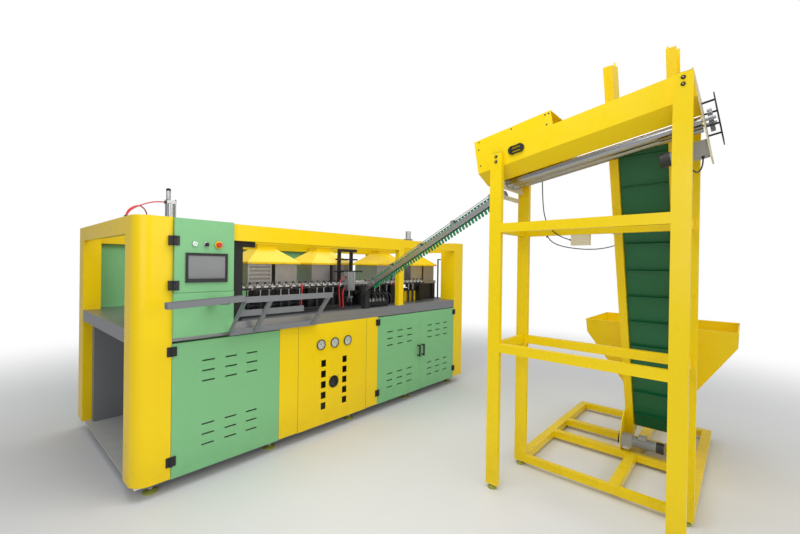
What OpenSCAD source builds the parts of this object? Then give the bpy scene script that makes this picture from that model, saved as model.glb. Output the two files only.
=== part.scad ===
/* [Machine cabinet] */
// Length of the cabinet along X
machine_w = 4120; // [4060:10:4240]
// Depth of the cabinet along Y
machine_d = 1950; // [1900:10:2050]
// Height of the cabinet top above the floor
machine_h = 2030; // [2020:5:2080]
// Height of the underside of the panels above the floor
skirt_z = 105; // [95:1:125]
// Height of the worktop above the floor
deck_z = 1215; // [1205:1:1225]
// Width of the front left corner column
corner_w = 238; // [225:1:245]
// Rounding radius of the front left corner column
corner_r = 115; // [60:5:115]
// Width of the front right column
column_w = 217; // [190:1:230]
// Depth of the corner columns from front to back
column_d = 235; // [235:1:250]
// Width of the rear columns
rear_column_w = 140; // [120:5:150]

/* [Doors and panels] */
// Sheet thickness of doors and panels
sheet = 2; // [1.5:0.5:3]
// Depth of the folded edge of doors and panels
pan_d = 20; // [16:1:22]
// Running gap around each door
door_gap = 3; // [2:0.5:4]
// Width of the lower left door
lower_door_w = 876; // [850:1:890]
// Height of the door tops above the floor
door_top = 1100; // [1095:1:1104]
// Width of the left fixed strip beside the valve panel
strip1_w = 195; // [180:1:200]
// Width of the right fixed strip beside the valve panel
strip2_w = 176; // [170:1:190]
// Width of the valve panel
valve_w = 874; // [860:1:890]
// Length of one louvre slot
slot_w = 95; // [70:1:110]
// Height of one louvre slot
slot_h = 12; // [8:1:16]
// Spacing of the louvre columns
slot_dx = 178; // [150:1:190]
// Spacing of the louvre rows
slot_dz = 79; // [60:1:85]
// Radius of a hinge knuckle
knuckle_r = 9; // [8:0.5:10]
// Radius of a hinge pin
pin_r = 4; // [3:0.5:5]
// Height of one hinge
hinge_h = 70; // [60:2:80]

/* [Control box] */
// Width of the control box
box_w = 442; // [430:1:445]
// Height of the underside of the control box
box_z = 1145; // [1140:1:1150]
// Height of the seam below the control door
seam_z = 1473; // [1470:1:1480]
// Distance the control door stands out of the front
box_out = 30; // [28:1:34]
// Width of the operator screen surround
hmi_w = 309; // [280:1:320]
// Height of the operator screen surround
hmi_h = 223; // [200:1:240]
// Radius of the emergency stop head
stop_r = 20; // [16:1:22]

/* [Valve panel] */
// Radius of a pressure gauge
gauge_r = 50; // [40:1:55]
// Spacing of the pressure gauges
gauge_dx = 170; // [150:1:180]
// Width of a square cut-out
window_w = 58; // [50:1:64]
// Height of a square cut-out
window_h = 67; // [55:1:75]
// Radius of the cooling fan opening
fan_r = 62; // [50:1:70]

/* [Ovens and conveyor] */
// Width of one oven hood
hood_w = 580; // [540:5:600]
// Depth of one oven hood
hood_d = 500; // [460:5:520]
// Height of the oven table above the floor
table_z = 1480; // [1470:1:1490]
// Height of one oven
oven_h = 215; // [200:1:230]
// Number of heater lamps in one oven face
lamp_rows = 5; // [3:1:6]
// Spacing of the preform carriers along the chain
carrier_pitch = 76; // [70:1:90]

/* [Mould clamp] */
// Closing travel of one mould half
mould_stroke = 59.5; // [50:0.5:59.5]
// Thickness of one mould half
mould_t = 60; // [55:1:60]
// Radius of the blown bottle cavity
bottle_r = 34; // [28:1:38]
// Height of the bottle cavity below the neck
bottle_h = 190; // [150:5:200]
// Radius of a tie bar
tie_r = 20; // [16:1:22]
// Radial running clearance of rods and pins in their bores
run_fit = 0.05; // [0.03:0.01:0.08]

/* [Feeder frame] */
// Distance of the near posts from the left end of the cabinet
feeder_x = 1925; // [1900:5:1940]
// Distance between the near and the far posts
feeder_span = 501; // [495:1:520]
// Width of a post along Y
post_w = 95; // [90:1:100]
// Thickness of a post along X
post_t = 40; // [40:1:45]
// Height of the two posts next to the cabinet
post_low = 2570; // [2560:5:2600]
// Height of the two outer posts
post_high = 2815; // [2805:5:2840]
// Height of the upper frame beams
beam_hi_z = 1962; // [1950:1:1980]
// Height of the lower frame beams
beam_lo_z = 1050; // [1030:1:1070]
// Height of one frame beam
beam_h = 67; // [55:1:75]

/* [Unscrambler trough] */
// Slope of the trough and rollers in degrees
trough_tilt = 9.7; // [9:0.1:10.5]
// Radius of an unscrambler roller
roller_r = 42; // [36:1:44]
// Distance between the two roller axes
roller_dx = 102; // [96:1:106]
// Sheet thickness of the trough and hopper
trough_t = 3; // [2:0.5:4]
// Height of the upright trough wall
wall_h = 161; // [150:1:170]
// Height of the trough cover above the wall
cover_h = 105; // [90:1:115]
// Number of teeth on a roller gear
gear_teeth = 32; // [32:4:36]

/* [Chute] */
// Slope of the preform chute in degrees
chute_tilt = 27.6; // [27:0.1:28]
// Gap between the two chute rails
chute_gap = 27; // [25:1:30]
// Height of a chute rail
chute_h = 46; // [40:1:50]
// Spacing of the preforms in the chute
preform_pitch = 36; // [36:1:45]
// Radius of a preform body
preform_r = 11; // [9:0.5:12]
// Length of a preform body below its neck ring
preform_l = 92; // [70:1:100]

/* [Elevator] */
// Distance of the lower drum from the left end of the cabinet
drum_lo_x = 3400; // [3390:5:3410]
// Height of the lower drum
drum_lo_z = 300; // [290:5:310]
// Distance of the upper drum from the left end of the cabinet
drum_hi_x = 2543; // [2540:1:2550]
// Height of the upper drum
drum_hi_z = 2890; // [2880:5:2900]
// Radius of a drum
drum_r = 48; // [40:1:50]
// Width of the cleated belt
belt_w = 316; // [300:2:320]
// Height of a belt cleat
cleat_h = 30; // [20:1:34]
// Number of cleats on each run of the belt
cleat_n = 12; // [8:1:14]
// Half width of the hopper mouth
hopper_hw = 549; // [500:1:560]
// Height of the hopper rim above the floor
hopper_z = 1215; // [1180:5:1240]

/* [Hidden] */
$fn = 40;

// The frame origin is the centre of the front left foot
foot_x = 150;
foot_y = 140;

// Stations along the front
x_door = corner_w;
x_strip1 = x_door + lower_door_w + 2 * door_gap;
x_valve = x_strip1 + strip1_w;
x_strip2 = x_valve + valve_w;
x_double = x_strip2 + strip2_w;
x_column = machine_w - column_w;
x_split = (x_double + x_column) / 2;
x_rear = machine_w - rear_column_w;

// Levels
rail_h = 60;
plate_t = 6;
floor_z = skirt_z + plate_t;
band_z = 1110;
beam_top = machine_h - 10;
beam_bot = beam_top - 135;
strip_d = 60;
door_bot = skirt_z + 1;
box_top = machine_h - 2;
seat = 0.3;
y_back = machine_d - strip_d;
hinge_y = -knuckle_r - 0.5;

module box(p, q) {
  translate(p) cube([q[0] - p[0], q[1] - p[1], q[2] - p[2]]);
}

// A rod along Y from y0 to y1
module rod_y(x, z, r, y0, y1) {
  translate([x, y0, z]) rotate([-90, 0, 0]) cylinder(r = r, h = y1 - y0);
}

// A folded sheet pan with its face at low y and its open side at high y
module pan(w, h) {
  difference() {
    cube([w, pan_d, h]);
    translate([sheet, sheet, sheet]) cube([w - 2 * sheet, pan_d, h - 2 * sheet]);
  }
}

module louvres(w, top) {
  for (c = [-1, 0, 1], g = [0, 494], r = [0, 1, 2])
    translate([w / 2 + c * slot_dx - slot_w / 2, -1, top - g - r * slot_dz - slot_h / 2])
      cube([slot_w, sheet + 2, slot_h]);
}

// Base and feet
module base_long_rails() {
  color("dimgray") for (y = [110, machine_d - 170])
    box([60, y, floor_z - plate_t - rail_h], [machine_w - 60, y + 60, skirt_z]);
}

module base_cross_rails() {
  color("dimgray") for (k = [0 : 4])
    translate([60 + k * (machine_w - 180) / 4, 170, skirt_z - rail_h])
      cube([60, machine_d - 340, rail_h]);
}

module base_plate() {
  color("gainsboro") box([20, 24, skirt_z], [machine_w - 20, machine_d - pan_d, floor_z]);
}

module foot(x, y, r, stem_r, top) {
  translate([x, y, 0]) {
    cylinder(r = r, h = 12);
    translate([0, 0, 12]) cylinder(r1 = r, r2 = r * 0.45, h = 8);
    translate([0, 0, 20]) cylinder(r = stem_r, h = top - 20);
  }
}

module levelling_feet() {
  color("yellowgreen") {
    for (k = [0 : 4], y = [foot_y, machine_d - foot_y])
      foot(foot_x + k * (machine_w - 2 * foot_x) / 4, y, 50, 12, skirt_z - rail_h);
    for (x = [post_x0, post_x1], y = [post_yc_in, post_yc_out])
      foot(x + post_t / 2, y, 32, 8, base_z);
    for (y = [base_yl + base_w / 2, base_ym + base_w / 2])
      foot(cross_b_x + base_w / 2, y, 32, 8, base_z);
    for (y = [base_ym + base_w / 2, post_yc_out])
      foot(base_end_x - base_w / 2, y, 32, 8, base_z);
    translate([base_end_x - base_w / 2, base_ym + base_w / 2, base_z + base_h]) cylinder(r = 7, h = 110);
  }
}

// Columns, strips and panels
module front_columns() {
  color("gold") {
    translate([0, 0, floor_z]) linear_extrude(machine_h - floor_z) union() {
      translate([corner_r, 0]) square([corner_w - corner_r, column_d]);
      translate([0, corner_r]) square([corner_r, column_d - corner_r]);
      translate([corner_r, corner_r]) circle(r = corner_r, $fn = 64);
    }
    box([x_column, 0, floor_z], [machine_w, column_d, machine_h]);
  }
}

module rear_columns() {
  color("gold") for (x = [0, x_rear])
    box([x, machine_d - 200, floor_z], [x + rear_column_w, machine_d, machine_h]);
}

module front_strips() {
  color("gold") {
    box([x_strip1, 0, floor_z], [x_valve, strip_d, band_z]);
    box([x_strip2, 0, floor_z], [x_double, strip_d, band_z]);
  }
}

gauge_z = 905;
gauge_x = [for (k = [-1, 0, 1]) x_valve + valve_w * 0.487 + k * gauge_dx];
fan_x = x_valve + valve_w * 0.484;
fan_z = 505;
case_r = gauge_r - 5;

module valve_panel() {
  color("gold") translate([x_valve, 0, door_bot]) difference() {
    pan(valve_w, band_z - door_bot);
    for (c = [0.336, 0.645], k = [0 : 4])
      translate([valve_w * c - window_w / 2, -1, 288 + k * 106 - window_h / 2 - door_bot])
        cube([window_w, sheet + 2, window_h]);
    for (x = gauge_x) rod_y(x - x_valve, gauge_z - door_bot, case_r, -1, sheet + 1);
    rod_y(fan_x - x_valve, fan_z - door_bot, fan_r - 4, -1, sheet + 1);
  }
}

// Rear, right end and control box skirt panels
module fixed_panels() {
  rear_w = (x_rear - rear_column_w - 8) / 3;
  color("mediumseagreen") {
    for (k = [0 : 2])
      translate([rear_column_w + k * (rear_w + 4) + rear_w, machine_d, floor_z]) rotate([0, 0, 180])
        pan(rear_w, band_z - floor_z);
    for (k = [0, 1])
      translate([rear_column_w + (k + 1) * ((x_post - rear_column_w) / 2), machine_d, deck_z])
        rotate([0, 0, 180]) pan((x_post - rear_column_w) / 2 - 2, beam_bot - deck_z);
    translate([machine_w, column_d, floor_z]) rotate([0, 0, 90])
      pan(machine_d - 200 - column_d, band_z - floor_z);
    translate([x_door, -box_out, box_z]) difference() {
      cube([box_w, box_out, seam_z - box_z]);
      translate([sheet, sheet, sheet])
        cube([box_w - 2 * sheet, box_out, seam_z - box_z - 2 * sheet]);
    }
  }
}

// Hinges: each has a fixed half with its pin and a door half around the pin
module hinge_fixed(z, side) {
  translate([0, 0, z]) mirror([side > 0 ? 0 : 1, 0, 0]) {
    translate([-33, knuckle_r + 0.5 - 6, -hinge_h / 2]) cube([24, 6, hinge_h]);
    for (s = [0, 1]) mirror([0, 0, s]) translate([0, 0, hinge_h / 6]) {
      cylinder(r = knuckle_r, h = hinge_h / 3);
      translate([-10, knuckle_r + 0.5 - 6, 0]) cube([10, 6, hinge_h / 3]);
    }
    translate([0, 0, -hinge_h / 2]) cylinder(r = pin_r, h = hinge_h);
  }
}

module hinge_door(z, side) {
  h = hinge_h / 3 - 0.6;
  translate([0, 0, z]) mirror([side > 0 ? 0 : 1, 0, 0]) difference() {
    union() {
      translate([9.5, knuckle_r + 0.5 - 6, -hinge_h / 2]) cube([23.5, 6, hinge_h]);
      translate([0, 0, -h / 2]) cylinder(r = knuckle_r, h = h);
      translate([0, knuckle_r + 0.5 - 6, -h / 2]) cube([10, 6, h]);
    }
    translate([0, 0, -hinge_h]) cylinder(r = pin_r + run_fit, h = 2 * hinge_h);
  }
}

hinge_low = [236, 1044];
hinge_box = [seam_z + 57, box_top - 170];

module hinge_halves() {
  color("black") {
    for (z = hinge_low) {
      translate([x_door + 1.5, hinge_y, 0]) hinge_fixed(z, 1);
      translate([x_double + 1.5, hinge_y, 0]) hinge_fixed(z, 1);
      translate([x_column - 1.5, hinge_y, 0]) hinge_fixed(z, -1);
    }
    translate([x_door + 1.5, hinge_y - box_out, 0]) for (z = hinge_box) {
      hinge_fixed(z, 1);
      translate([-33, knuckle_r + 0.5, z - hinge_h / 2]) cube([24, box_out, hinge_h]);
    }
  }
}

module lower_door() {
  color("mediumseagreen") translate([x_door + door_gap, 0, door_bot]) difference() {
    pan(lower_door_w, door_top - door_bot);
    louvres(lower_door_w, 942 - door_bot);
  }
}

module lower_door_leaves() {
  color("black") translate([x_door + 1.5, hinge_y, 0]) for (z = hinge_low) hinge_door(z, 1);
}

module double_door(w) {
  color("mediumseagreen") difference() {
    pan(w, door_top - door_bot);
    louvres(w, 914 - door_bot);
  }
}

double_w = x_split - x_double - 1.5 * door_gap;

module double_door_left() {
  translate([x_double + door_gap, 0, door_bot]) double_door(double_w);
}

module double_door_right() {
  translate([x_column - door_gap - double_w, 0, door_bot]) double_door(double_w);
}

module pull_handle(x) {
  translate([x, 0, 614]) {
    for (s = [-1, 1]) translate([0, 0, s * 62]) rotate([90, 0, 0]) cylinder(r = 9, h = 34);
    translate([-9, -46, -76]) cube([18, 14, 152]);
  }
}

module double_left_fittings() {
  color("black") {
    translate([x_double + 1.5, hinge_y, 0]) for (z = hinge_low) hinge_door(z, 1);
    pull_handle(x_split - 42);
  }
}

module double_right_fittings() {
  color("black") {
    translate([x_column - 1.5, hinge_y, 0]) for (z = hinge_low) hinge_door(z, -1);
    pull_handle(x_split + 42);
  }
}

// Control box with its door, screen and buttons
door_x0 = x_door + door_gap;
hmi_xc = x_door + 230.5;
hmi_zc = box_top - 367;
button_z = box_top - 189;
button_x = [x_door + 140, x_door + 224, x_door + 314];
start_r = 14;
door_face = -box_out;

module control_box() {
  color("mediumseagreen") {
    difference() {
      box([x_door, 0, box_z], [x_door + box_w, 230, box_top]);
      box([x_door + sheet, -1, box_z + sheet], [x_door + box_w - sheet, 230 - sheet, box_top - sheet]);
    }
    box([x_door + 40, 196, box_z + 60], [x_door + box_w - 40, 200, box_top - 60]);
    for (s = [60, box_w - 80])
      box([x_door + s, 200, hmi_zc - 161], [x_door + s + 20, 230 - sheet, hmi_zc - 141]);
    row_dz = (box_top - box_z - 103) / 3;
    for (z = [box_z + 95 : row_dz : box_top - 120])
      box([x_door + 70, 130, z], [x_door + box_w - 70, 196, z + row_dz - 120]);
  }
}

module control_door() {
  color("mediumseagreen") translate([door_x0, door_face, seam_z + 3]) difference() {
    w = box_w - 2 * door_gap;
    h = box_top - seam_z - 5;
    d = box_out - 2;
    cube([w, d, h]);
    translate([sheet, sheet, sheet]) cube([w - 2 * sheet, d, h - 2 * sheet]);
    for (x = [button_x[0], button_x[2]])
      rod_y(x - door_x0, button_z - seam_z - 3, start_r + 2, -1, sheet + 1);
    rod_y(button_x[1] - door_x0, button_z - seam_z - 3, 8, -1, sheet + 1);
  }
}

module collar(x, r, bore) {
  translate([x, door_face, button_z]) rotate([90, 0, 0]) difference() {
    cylinder(r = r, h = 6);
    translate([0, 0, -1]) cylinder(r = bore, h = 8);
  }
}

module control_door_fittings() {
  color("black") {
    translate([x_door + 1.5, hinge_y - box_out, 0]) for (z = hinge_box) hinge_door(z, 1);
    collar(button_x[0], 19, start_r + run_fit);
    collar(button_x[1], 19, 6 + run_fit);
    collar(button_x[2], 30, 11 + run_fit);
    difference() {
      box([hmi_xc - hmi_w / 2, door_face - 9, hmi_zc - hmi_h / 2],
        [hmi_xc + hmi_w / 2, door_face, hmi_zc + hmi_h / 2]);
      box([hmi_xc - hmi_w / 2 + 15, door_face - 10, hmi_zc - hmi_h / 2 + 28],
        [hmi_xc + hmi_w / 2 - 15, door_face + 1, hmi_zc + hmi_h / 2 - 20]);
    }
  }
}

module hmi_screen() {
  color("slategray") box([hmi_xc - hmi_w / 2 + 15, door_face - 5, hmi_zc - hmi_h / 2 + 28],
    [hmi_xc + hmi_w / 2 - 15, door_face, hmi_zc + hmi_h / 2 - 20]);
}

// A push cap at low y with its stem running back through the collar
module push_cap(x, cap_r, stem_r, cap_h) {
  translate([x, door_face, button_z]) rotate([90, 0, 0]) {
    translate([0, 0, -8]) cylinder(r = stem_r, h = 20);
    translate([0, 0, 12]) rotate_extrude() {
      square([cap_r - 3, cap_h]);
      square([cap_r, cap_h - 3]);
      translate([cap_r - 3, cap_h - 3]) circle(r = 3);
    }
  }
}

module start_button() {
  color("honeydew") translate([button_x[0], door_face, button_z]) rotate([90, 0, 0])
    translate([0, 0, -8]) cylinder(r = start_r, h = 20);
}

module selector_switch() {
  color("black") translate([button_x[1], door_face, button_z]) rotate([90, 0, 0]) {
    translate([0, 0, -8]) cylinder(r = 6, h = 15);
    translate([0, 0, 6.5]) cylinder(r = 16, h = 8);
    translate([-4, -15, 14]) cube([8, 30, 12]);
  }
}

module emergency_stop() {
  color("red") push_cap(button_x[2], stop_r, 11, 16);
}

// Pressure gauges: case, rim, dial and needle in one piece
module gauges() {
  color("silver") for (x = gauge_x) translate([x, 0, gauge_z]) rotate([90, 0, 0]) {
    translate([0, 0, -40]) cylinder(r = case_r - 0.5, h = 42);
    difference() {
      cylinder(r = gauge_r, h = 12);
      translate([0, 0, 2]) cylinder(r = gauge_r - 6, h = 11);
    }
    translate([0, 0, 1]) cylinder(r = 4, h = 5);
    rotate([0, 0, 35]) translate([-1.5, -8, 3]) cube([3, gauge_r - 10, 1.5]);
  }
}

// Cooling fan with guard rings, frame and a five blade rotor
module fan_housing() {
  color("black") translate([fan_x, 0, fan_z]) rotate([-90, 0, 0]) {
    translate([0, 0, sheet]) linear_extrude(34) difference() {
      square(132, center = true);
      circle(r = fan_r - 4, $fn = 64);
    }
    translate([0, 0, sheet + 34]) linear_extrude(4) {
      difference() {
        square(132, center = true);
        circle(r = fan_r - 4, $fn = 64);
      }
      for (a = [0, 120, 240]) rotate(a) translate([0, -4]) square([fan_r, 8]);
      circle(r = 22);
    }
    translate([0, 0, -3]) linear_extrude(3) {
      for (r = [fan_r, fan_r * 0.72, fan_r * 0.45]) difference() {
        circle(r = r, $fn = 64);
        circle(r = r - 3.5, $fn = 64);
      }
      for (a = [45 : 90 : 315]) rotate(a) translate([0, -1.75]) square([fan_r - 2, 3.5]);
      circle(r = 14);
    }
    for (a = [45 : 90 : 315]) rotate([0, 0, a]) translate([fan_r + 17, 0, -2]) cylinder(r = 4, h = 2);
  }
}

module fan_rotor() {
  color("dimgray") translate([fan_x, 0, fan_z]) rotate([-90, 0, 0]) {
    translate([0, 0, 8]) cylinder(r = 20, h = 27.7);
    for (k = [0 : 4]) rotate([0, 0, k * 72]) translate([17, 0, 21]) rotate([35, 0, 0])
      translate([0, -14, -1]) cube([fan_r - 26, 28, 2]);
  }
}

// Worktop and the beams above it
x_post = x_strip2 + 523;
post_sq = 88;
deck_t = 10;
beam_d = 60;

module deck() {
  color("silver") translate([0, 0, deck_z - deck_t]) linear_extrude(deck_t) polygon([
    [20, column_d], [x_door + box_w, column_d], [x_door + box_w, strip_d],
    [x_column, strip_d], [x_column, column_d], [machine_w - 20, column_d],
    [machine_w - 20, machine_d - 200], [x_rear, machine_d - 200], [x_rear, machine_d - 24],
    [rear_column_w, machine_d - 24], [rear_column_w, machine_d - 200], [20, machine_d - 200]]);
}

// Edge bands, joists, and the legs under the oven table and the conveyor
module deck_supports() {
  color("silver") {
    box([x_door + box_w, 0, band_z], [x_column, strip_d, deck_z]);
    box([x_door, box_out, band_z], [x_door + box_w - 0.3, 230, box_z]);
    box([rear_column_w, machine_d - 24, band_z], [x_rear, machine_d, deck_z]);
    box([0, column_d, band_z], [20, machine_d - 200, deck_z]);
    box([machine_w - 20, column_d, band_z], [machine_w, machine_d - 200, deck_z]);
    for (x = [760, 1560, 2600, machine_w - 620])
      box([x, strip_d + 0.3, deck_z - 70], [x + 60, machine_d - 24.3, deck_z - deck_t]);
    for (x = [table_x0 + 30, 2330, 2640, table_x1 - 110], y = [hood_y0 + 10, hood_y1 - 90])
      box([x, y, deck_z], [x + 80, y + 80, table_z - 40]);
    for (x = [820, 1600, 2420, 2860, conv_x1 - 120])
      box([x, conv_y, deck_z], [x + 60, conv_y + 60, conv_z]);
  }
}

module top_beams() {
  color("gold") {
    box([x_door + box_w, 0, beam_bot], [x_post + post_sq, beam_d, beam_top]);
    box([x_post + post_sq + 0.3, 0, beam_bot + 30], [x_column, beam_d, beam_top - 8]);
    box([x_post, 0, deck_z], [x_post + post_sq, beam_d, beam_bot - 0.3]);
    box([x_post, y_back, deck_z], [x_post + post_sq, machine_d, beam_bot - 0.3]);
    box([rear_column_w, y_back, beam_bot], [x_rear, machine_d, beam_top]);
    for (x = [x_door + box_w + 10, x_post])
      box([x, beam_d + 0.3, beam_bot + 40], [x + 60, y_back - 0.3, beam_top]);
    box([0, column_d, machine_h - 130], [40, machine_d - 200, machine_h]);
    box([machine_w - 40, column_d, machine_h - 130], [machine_w, machine_d - 200, machine_h]);
  }
}

// Plain inner cabinet seen through the open left end
module inner_cabinet() {
  color("lightslategray") {
    box([75, machine_d - 290, floor_z], [700, machine_d - 200, door_top]);
    box([rear_column_w, machine_d - 200, floor_z], [700, machine_d - 50, door_top]);
  }
}

// Preform ovens on their table
hood_y0 = 380;
hood_y1 = hood_y0 + hood_d;
hood_x = [for (f = [0.313, 0.49, 0.734, 0.898]) round(f * machine_w)];
table_x0 = 1000;
table_x1 = machine_w - 125;
conv_y = 270;
conv_z = table_z - 30;
conv_x0 = 700;
conv_x1 = machine_w - 560;

module ovens() {
  color("lightgray") {
    box([table_x0, hood_y0 + 20, table_z - 40], [table_x1, hood_y1 - 10, table_z]);
    for (c = hood_x, s = [-1, 1]) translate([c + s * 145 - 125, hood_y0 + 40, table_z + 0.3])
      difference() {
        cube([250, hood_d - 80, oven_h - 0.3]);
        for (k = [0 : lamp_rows - 1])
          translate([20, c + s == hood_x[0] - 1 ? -1 : hood_d - 105, 24 + k * (oven_h - 60) / (lamp_rows - 1)])
            cube([210, 26, 14]);
      }
  }
}

// Hollow frustum of sheet metal, open below and above
module frustum(w0, d0, w1, d1, h) {
  polyhedron(points = [
    [-w0 / 2, -d0 / 2, 0], [w0 / 2, -d0 / 2, 0], [w0 / 2, d0 / 2, 0], [-w0 / 2, d0 / 2, 0],
    [-w1 / 2, -d1 / 2, h], [w1 / 2, -d1 / 2, h], [w1 / 2, d1 / 2, h], [-w1 / 2, d1 / 2, h]],
    faces = [[0, 1, 2, 3], [4, 7, 6, 5], [0, 4, 5, 1], [1, 5, 6, 2], [2, 6, 7, 3], [3, 7, 4, 0]]);
}

module oven_hoods() {
  z0 = table_z + oven_h;
  color("gold") for (c = hood_x) translate([c, hood_y0 + hood_d / 2, z0]) difference() {
    union() {
      translate([-hood_w / 2, -hood_d / 2, 0]) cube([hood_w, hood_d, 20]);
      translate([0, 0, 20]) frustum(hood_w, hood_d, 210, 160, 135);
      translate([-105, -80, 155]) cube([210, 160, 50]);
    }
    translate([-260, -hood_d / 2 + 60, -1]) cube([520, hood_d - 120, 5]);
    translate([-hood_w / 2 + 3, -hood_d / 2 + 3, 3]) cube([hood_w - 6, hood_d - 6, 14]);
    translate([0, 0, 16.9]) frustum(hood_w - 6, hood_d - 6, 204, 154, 135);
    translate([-102, -77, 150]) cube([204, 154, 60]);
  }
  color("gold") box([3200, 335, deck_z], [3430, 450, deck_z + 135]);
}

// Chain rail with its preform carriers
module conveyor() {
  color("silver") {
    box([conv_x0, conv_y, conv_z], [conv_x1, conv_y + 60, conv_z + 22]);
    for (x = [conv_x0 + 40 : carrier_pitch : conv_x1 - 40]) translate([x, conv_y + 18, conv_z + 22]) {
      translate([-22, -30, 0]) cube([44, 48, 16]);
      translate([0, -12, 16]) cylinder(r = 11, h = 22);
    }
  }
}

// Mould clamp: end plates, tie bars and the bridge that carries the stretch unit
clamp_x0 = 200;
clamp_w = 420;
clamp_yc = 610;
plate_y = 280;
clamp_z = deck_z + 400;
tie_x = [clamp_x0 + 40, clamp_x0 + clamp_w - 40];
tie_z = [deck_z + 60, deck_z + 340];
cav_x = [clamp_x0 + 115, clamp_x0 + 305];
cav_z = deck_z + 90;
clamp_xc = clamp_x0 + clamp_w / 2;
bridge_z = machine_h - 180;
carriage_z = bridge_z - 50;

module clamp_frame() {
  color("dimgray") {
    for (s = [-1, 1]) translate([0, clamp_yc, 0]) mirror([0, s < 0 ? 1 : 0, 0]) {
      difference() {
        box([clamp_x0, plate_y - 40, deck_z], [clamp_x0 + clamp_w, plate_y, clamp_z]);
        rod_y(clamp_xc, deck_z + 200, 25 + run_fit, plate_y - 50, plate_y + 10);
      }
      difference() {
        rod_y(clamp_xc, deck_z + 200, 60, plate_y, plate_y + 80);
        rod_y(clamp_xc, deck_z + 200, 32, plate_y - 1, plate_y + 70);
      }
      for (x = tie_x) box([x - 20, plate_y - 40, clamp_z], [x + 20, plate_y, bridge_z]);
    }
    for (x = tie_x, z = tie_z) rod_y(x, z, tie_r, clamp_yc - plate_y + 40, clamp_yc + plate_y - 40);
    difference() {
      box([clamp_x0, clamp_yc - plate_y, bridge_z], [clamp_x0 + clamp_w, clamp_yc + plate_y, bridge_z + 20]);
      translate([clamp_xc, clamp_yc, bridge_z - 1]) cylinder(r = 12 + run_fit, h = 30);
    }
  }
}

// Half mould on its platen; the rest position is open
module mould_half() {
  open = mould_stroke + 0.5;
  difference() {
    union() {
      box([clamp_x0, open + mould_t, deck_z + 20], [clamp_x0 + clamp_w, open + mould_t + 30, clamp_z - 20]);
      box([clamp_x0 + 50, open, deck_z + 95], [clamp_x0 + clamp_w - 50, open + mould_t, deck_z + 310]);
      rod_y(clamp_xc, deck_z + 200, 25, open + mould_t + 30, plate_y + 60);
    }
    for (x = tie_x, z = tie_z) rod_y(x, z, tie_r + run_fit, open, plate_y);
    for (x = cav_x) translate([x, open, 0]) bottle_cavity();
  }
}

module bottle_cavity() {
  translate([0, 0, deck_z + 105]) rotate_extrude() polygon([
    [0, 0], [bottle_r - 6, 0], [bottle_r, 8], [bottle_r, bottle_h * 0.35], [bottle_r - 3, bottle_h * 0.4],
    [bottle_r, bottle_h * 0.45], [bottle_r, bottle_h * 0.7], [bottle_r * 0.8, bottle_h * 0.82],
    [14, bottle_h * 0.95], [14, 220], [0, 220]]);
}

module mould_front() {
  color("silver") translate([0, clamp_yc, 0]) mirror([0, 1, 0]) mould_half();
}

module mould_rear() {
  color("silver") translate([0, clamp_yc, 0]) mould_half();
}

// Two air cylinders: the tall one of the stretch unit and the one of the loading station
loader_x = 2112;
loader_y = 215;
loader_z = deck_z + 195;
loader_h = 210;

module air_cylinders() {
  color("silver") {
    translate([clamp_xc, clamp_yc, bridge_z + 20]) difference() {
      union() {
        cylinder(r = 34, h = 360);
        translate([-38, -38, 0]) cube([76, 76, 26]);
        translate([-38, -38, 334]) cube([76, 76, 26]);
        translate([-20, -10, 360]) cylinder(r = 17, h = 90);
      }
      translate([0, 0, -1]) cylinder(r = 20, h = 340);
    }
    difference() {
      translate([loader_x, loader_y, loader_z]) box([-52, -37, 0], [52, 37, loader_h]);
      translate([loader_x, loader_y, loader_z - 10]) cylinder(r = 8 + run_fit, h = 200);
      for (s = [-1, 1]) translate([loader_x + s * 26, loader_y, loader_z])
        box([-5, -38, -5], [5, -31, loader_h + 5]);
    }
    translate([loader_x + 52, loader_y, loader_z + 60]) box([0, -20, 0], [18, 20, 40]);
    translate([loader_x + 70, loader_y, loader_z + 80]) rotate([0, 90, 0]) cylinder(r = 28, h = 150);
    box([2950, beam_d, beam_top - 90], [3030, beam_d + 80, machine_h + 10]);
    translate([2990, beam_d + 40, machine_h + 10]) cylinder(r = 32, h = 95);
  }
}

stretch_stroke = 180;

module stretch_carriage() {
  color("gainsboro") {
    box([clamp_x0 + 70, clamp_yc - 30, carriage_z], [clamp_x0 + clamp_w - 70, clamp_yc + 30, carriage_z + 20]);
    translate([clamp_xc, clamp_yc, carriage_z + 20]) cylinder(r = 12, h = 240);
    for (x = cav_x) translate([x, clamp_yc, clamp_z - 20]) {
      cylinder(r = 6, h = carriage_z - clamp_z + 20);
      sphere(r = 6);
    }
  }
}

// Loading station frame, its valve bank, and the black guards at the left and right windows
bank_y = 70;
bank_z = deck_z + 60;

pillar_x0 = x_door + box_w + 10;
pillar_x1 = pillar_x0 + 105;
guard_z = machine_h - 240;
frame_y = 350;
frame_top = beam_bot - 7;

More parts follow.
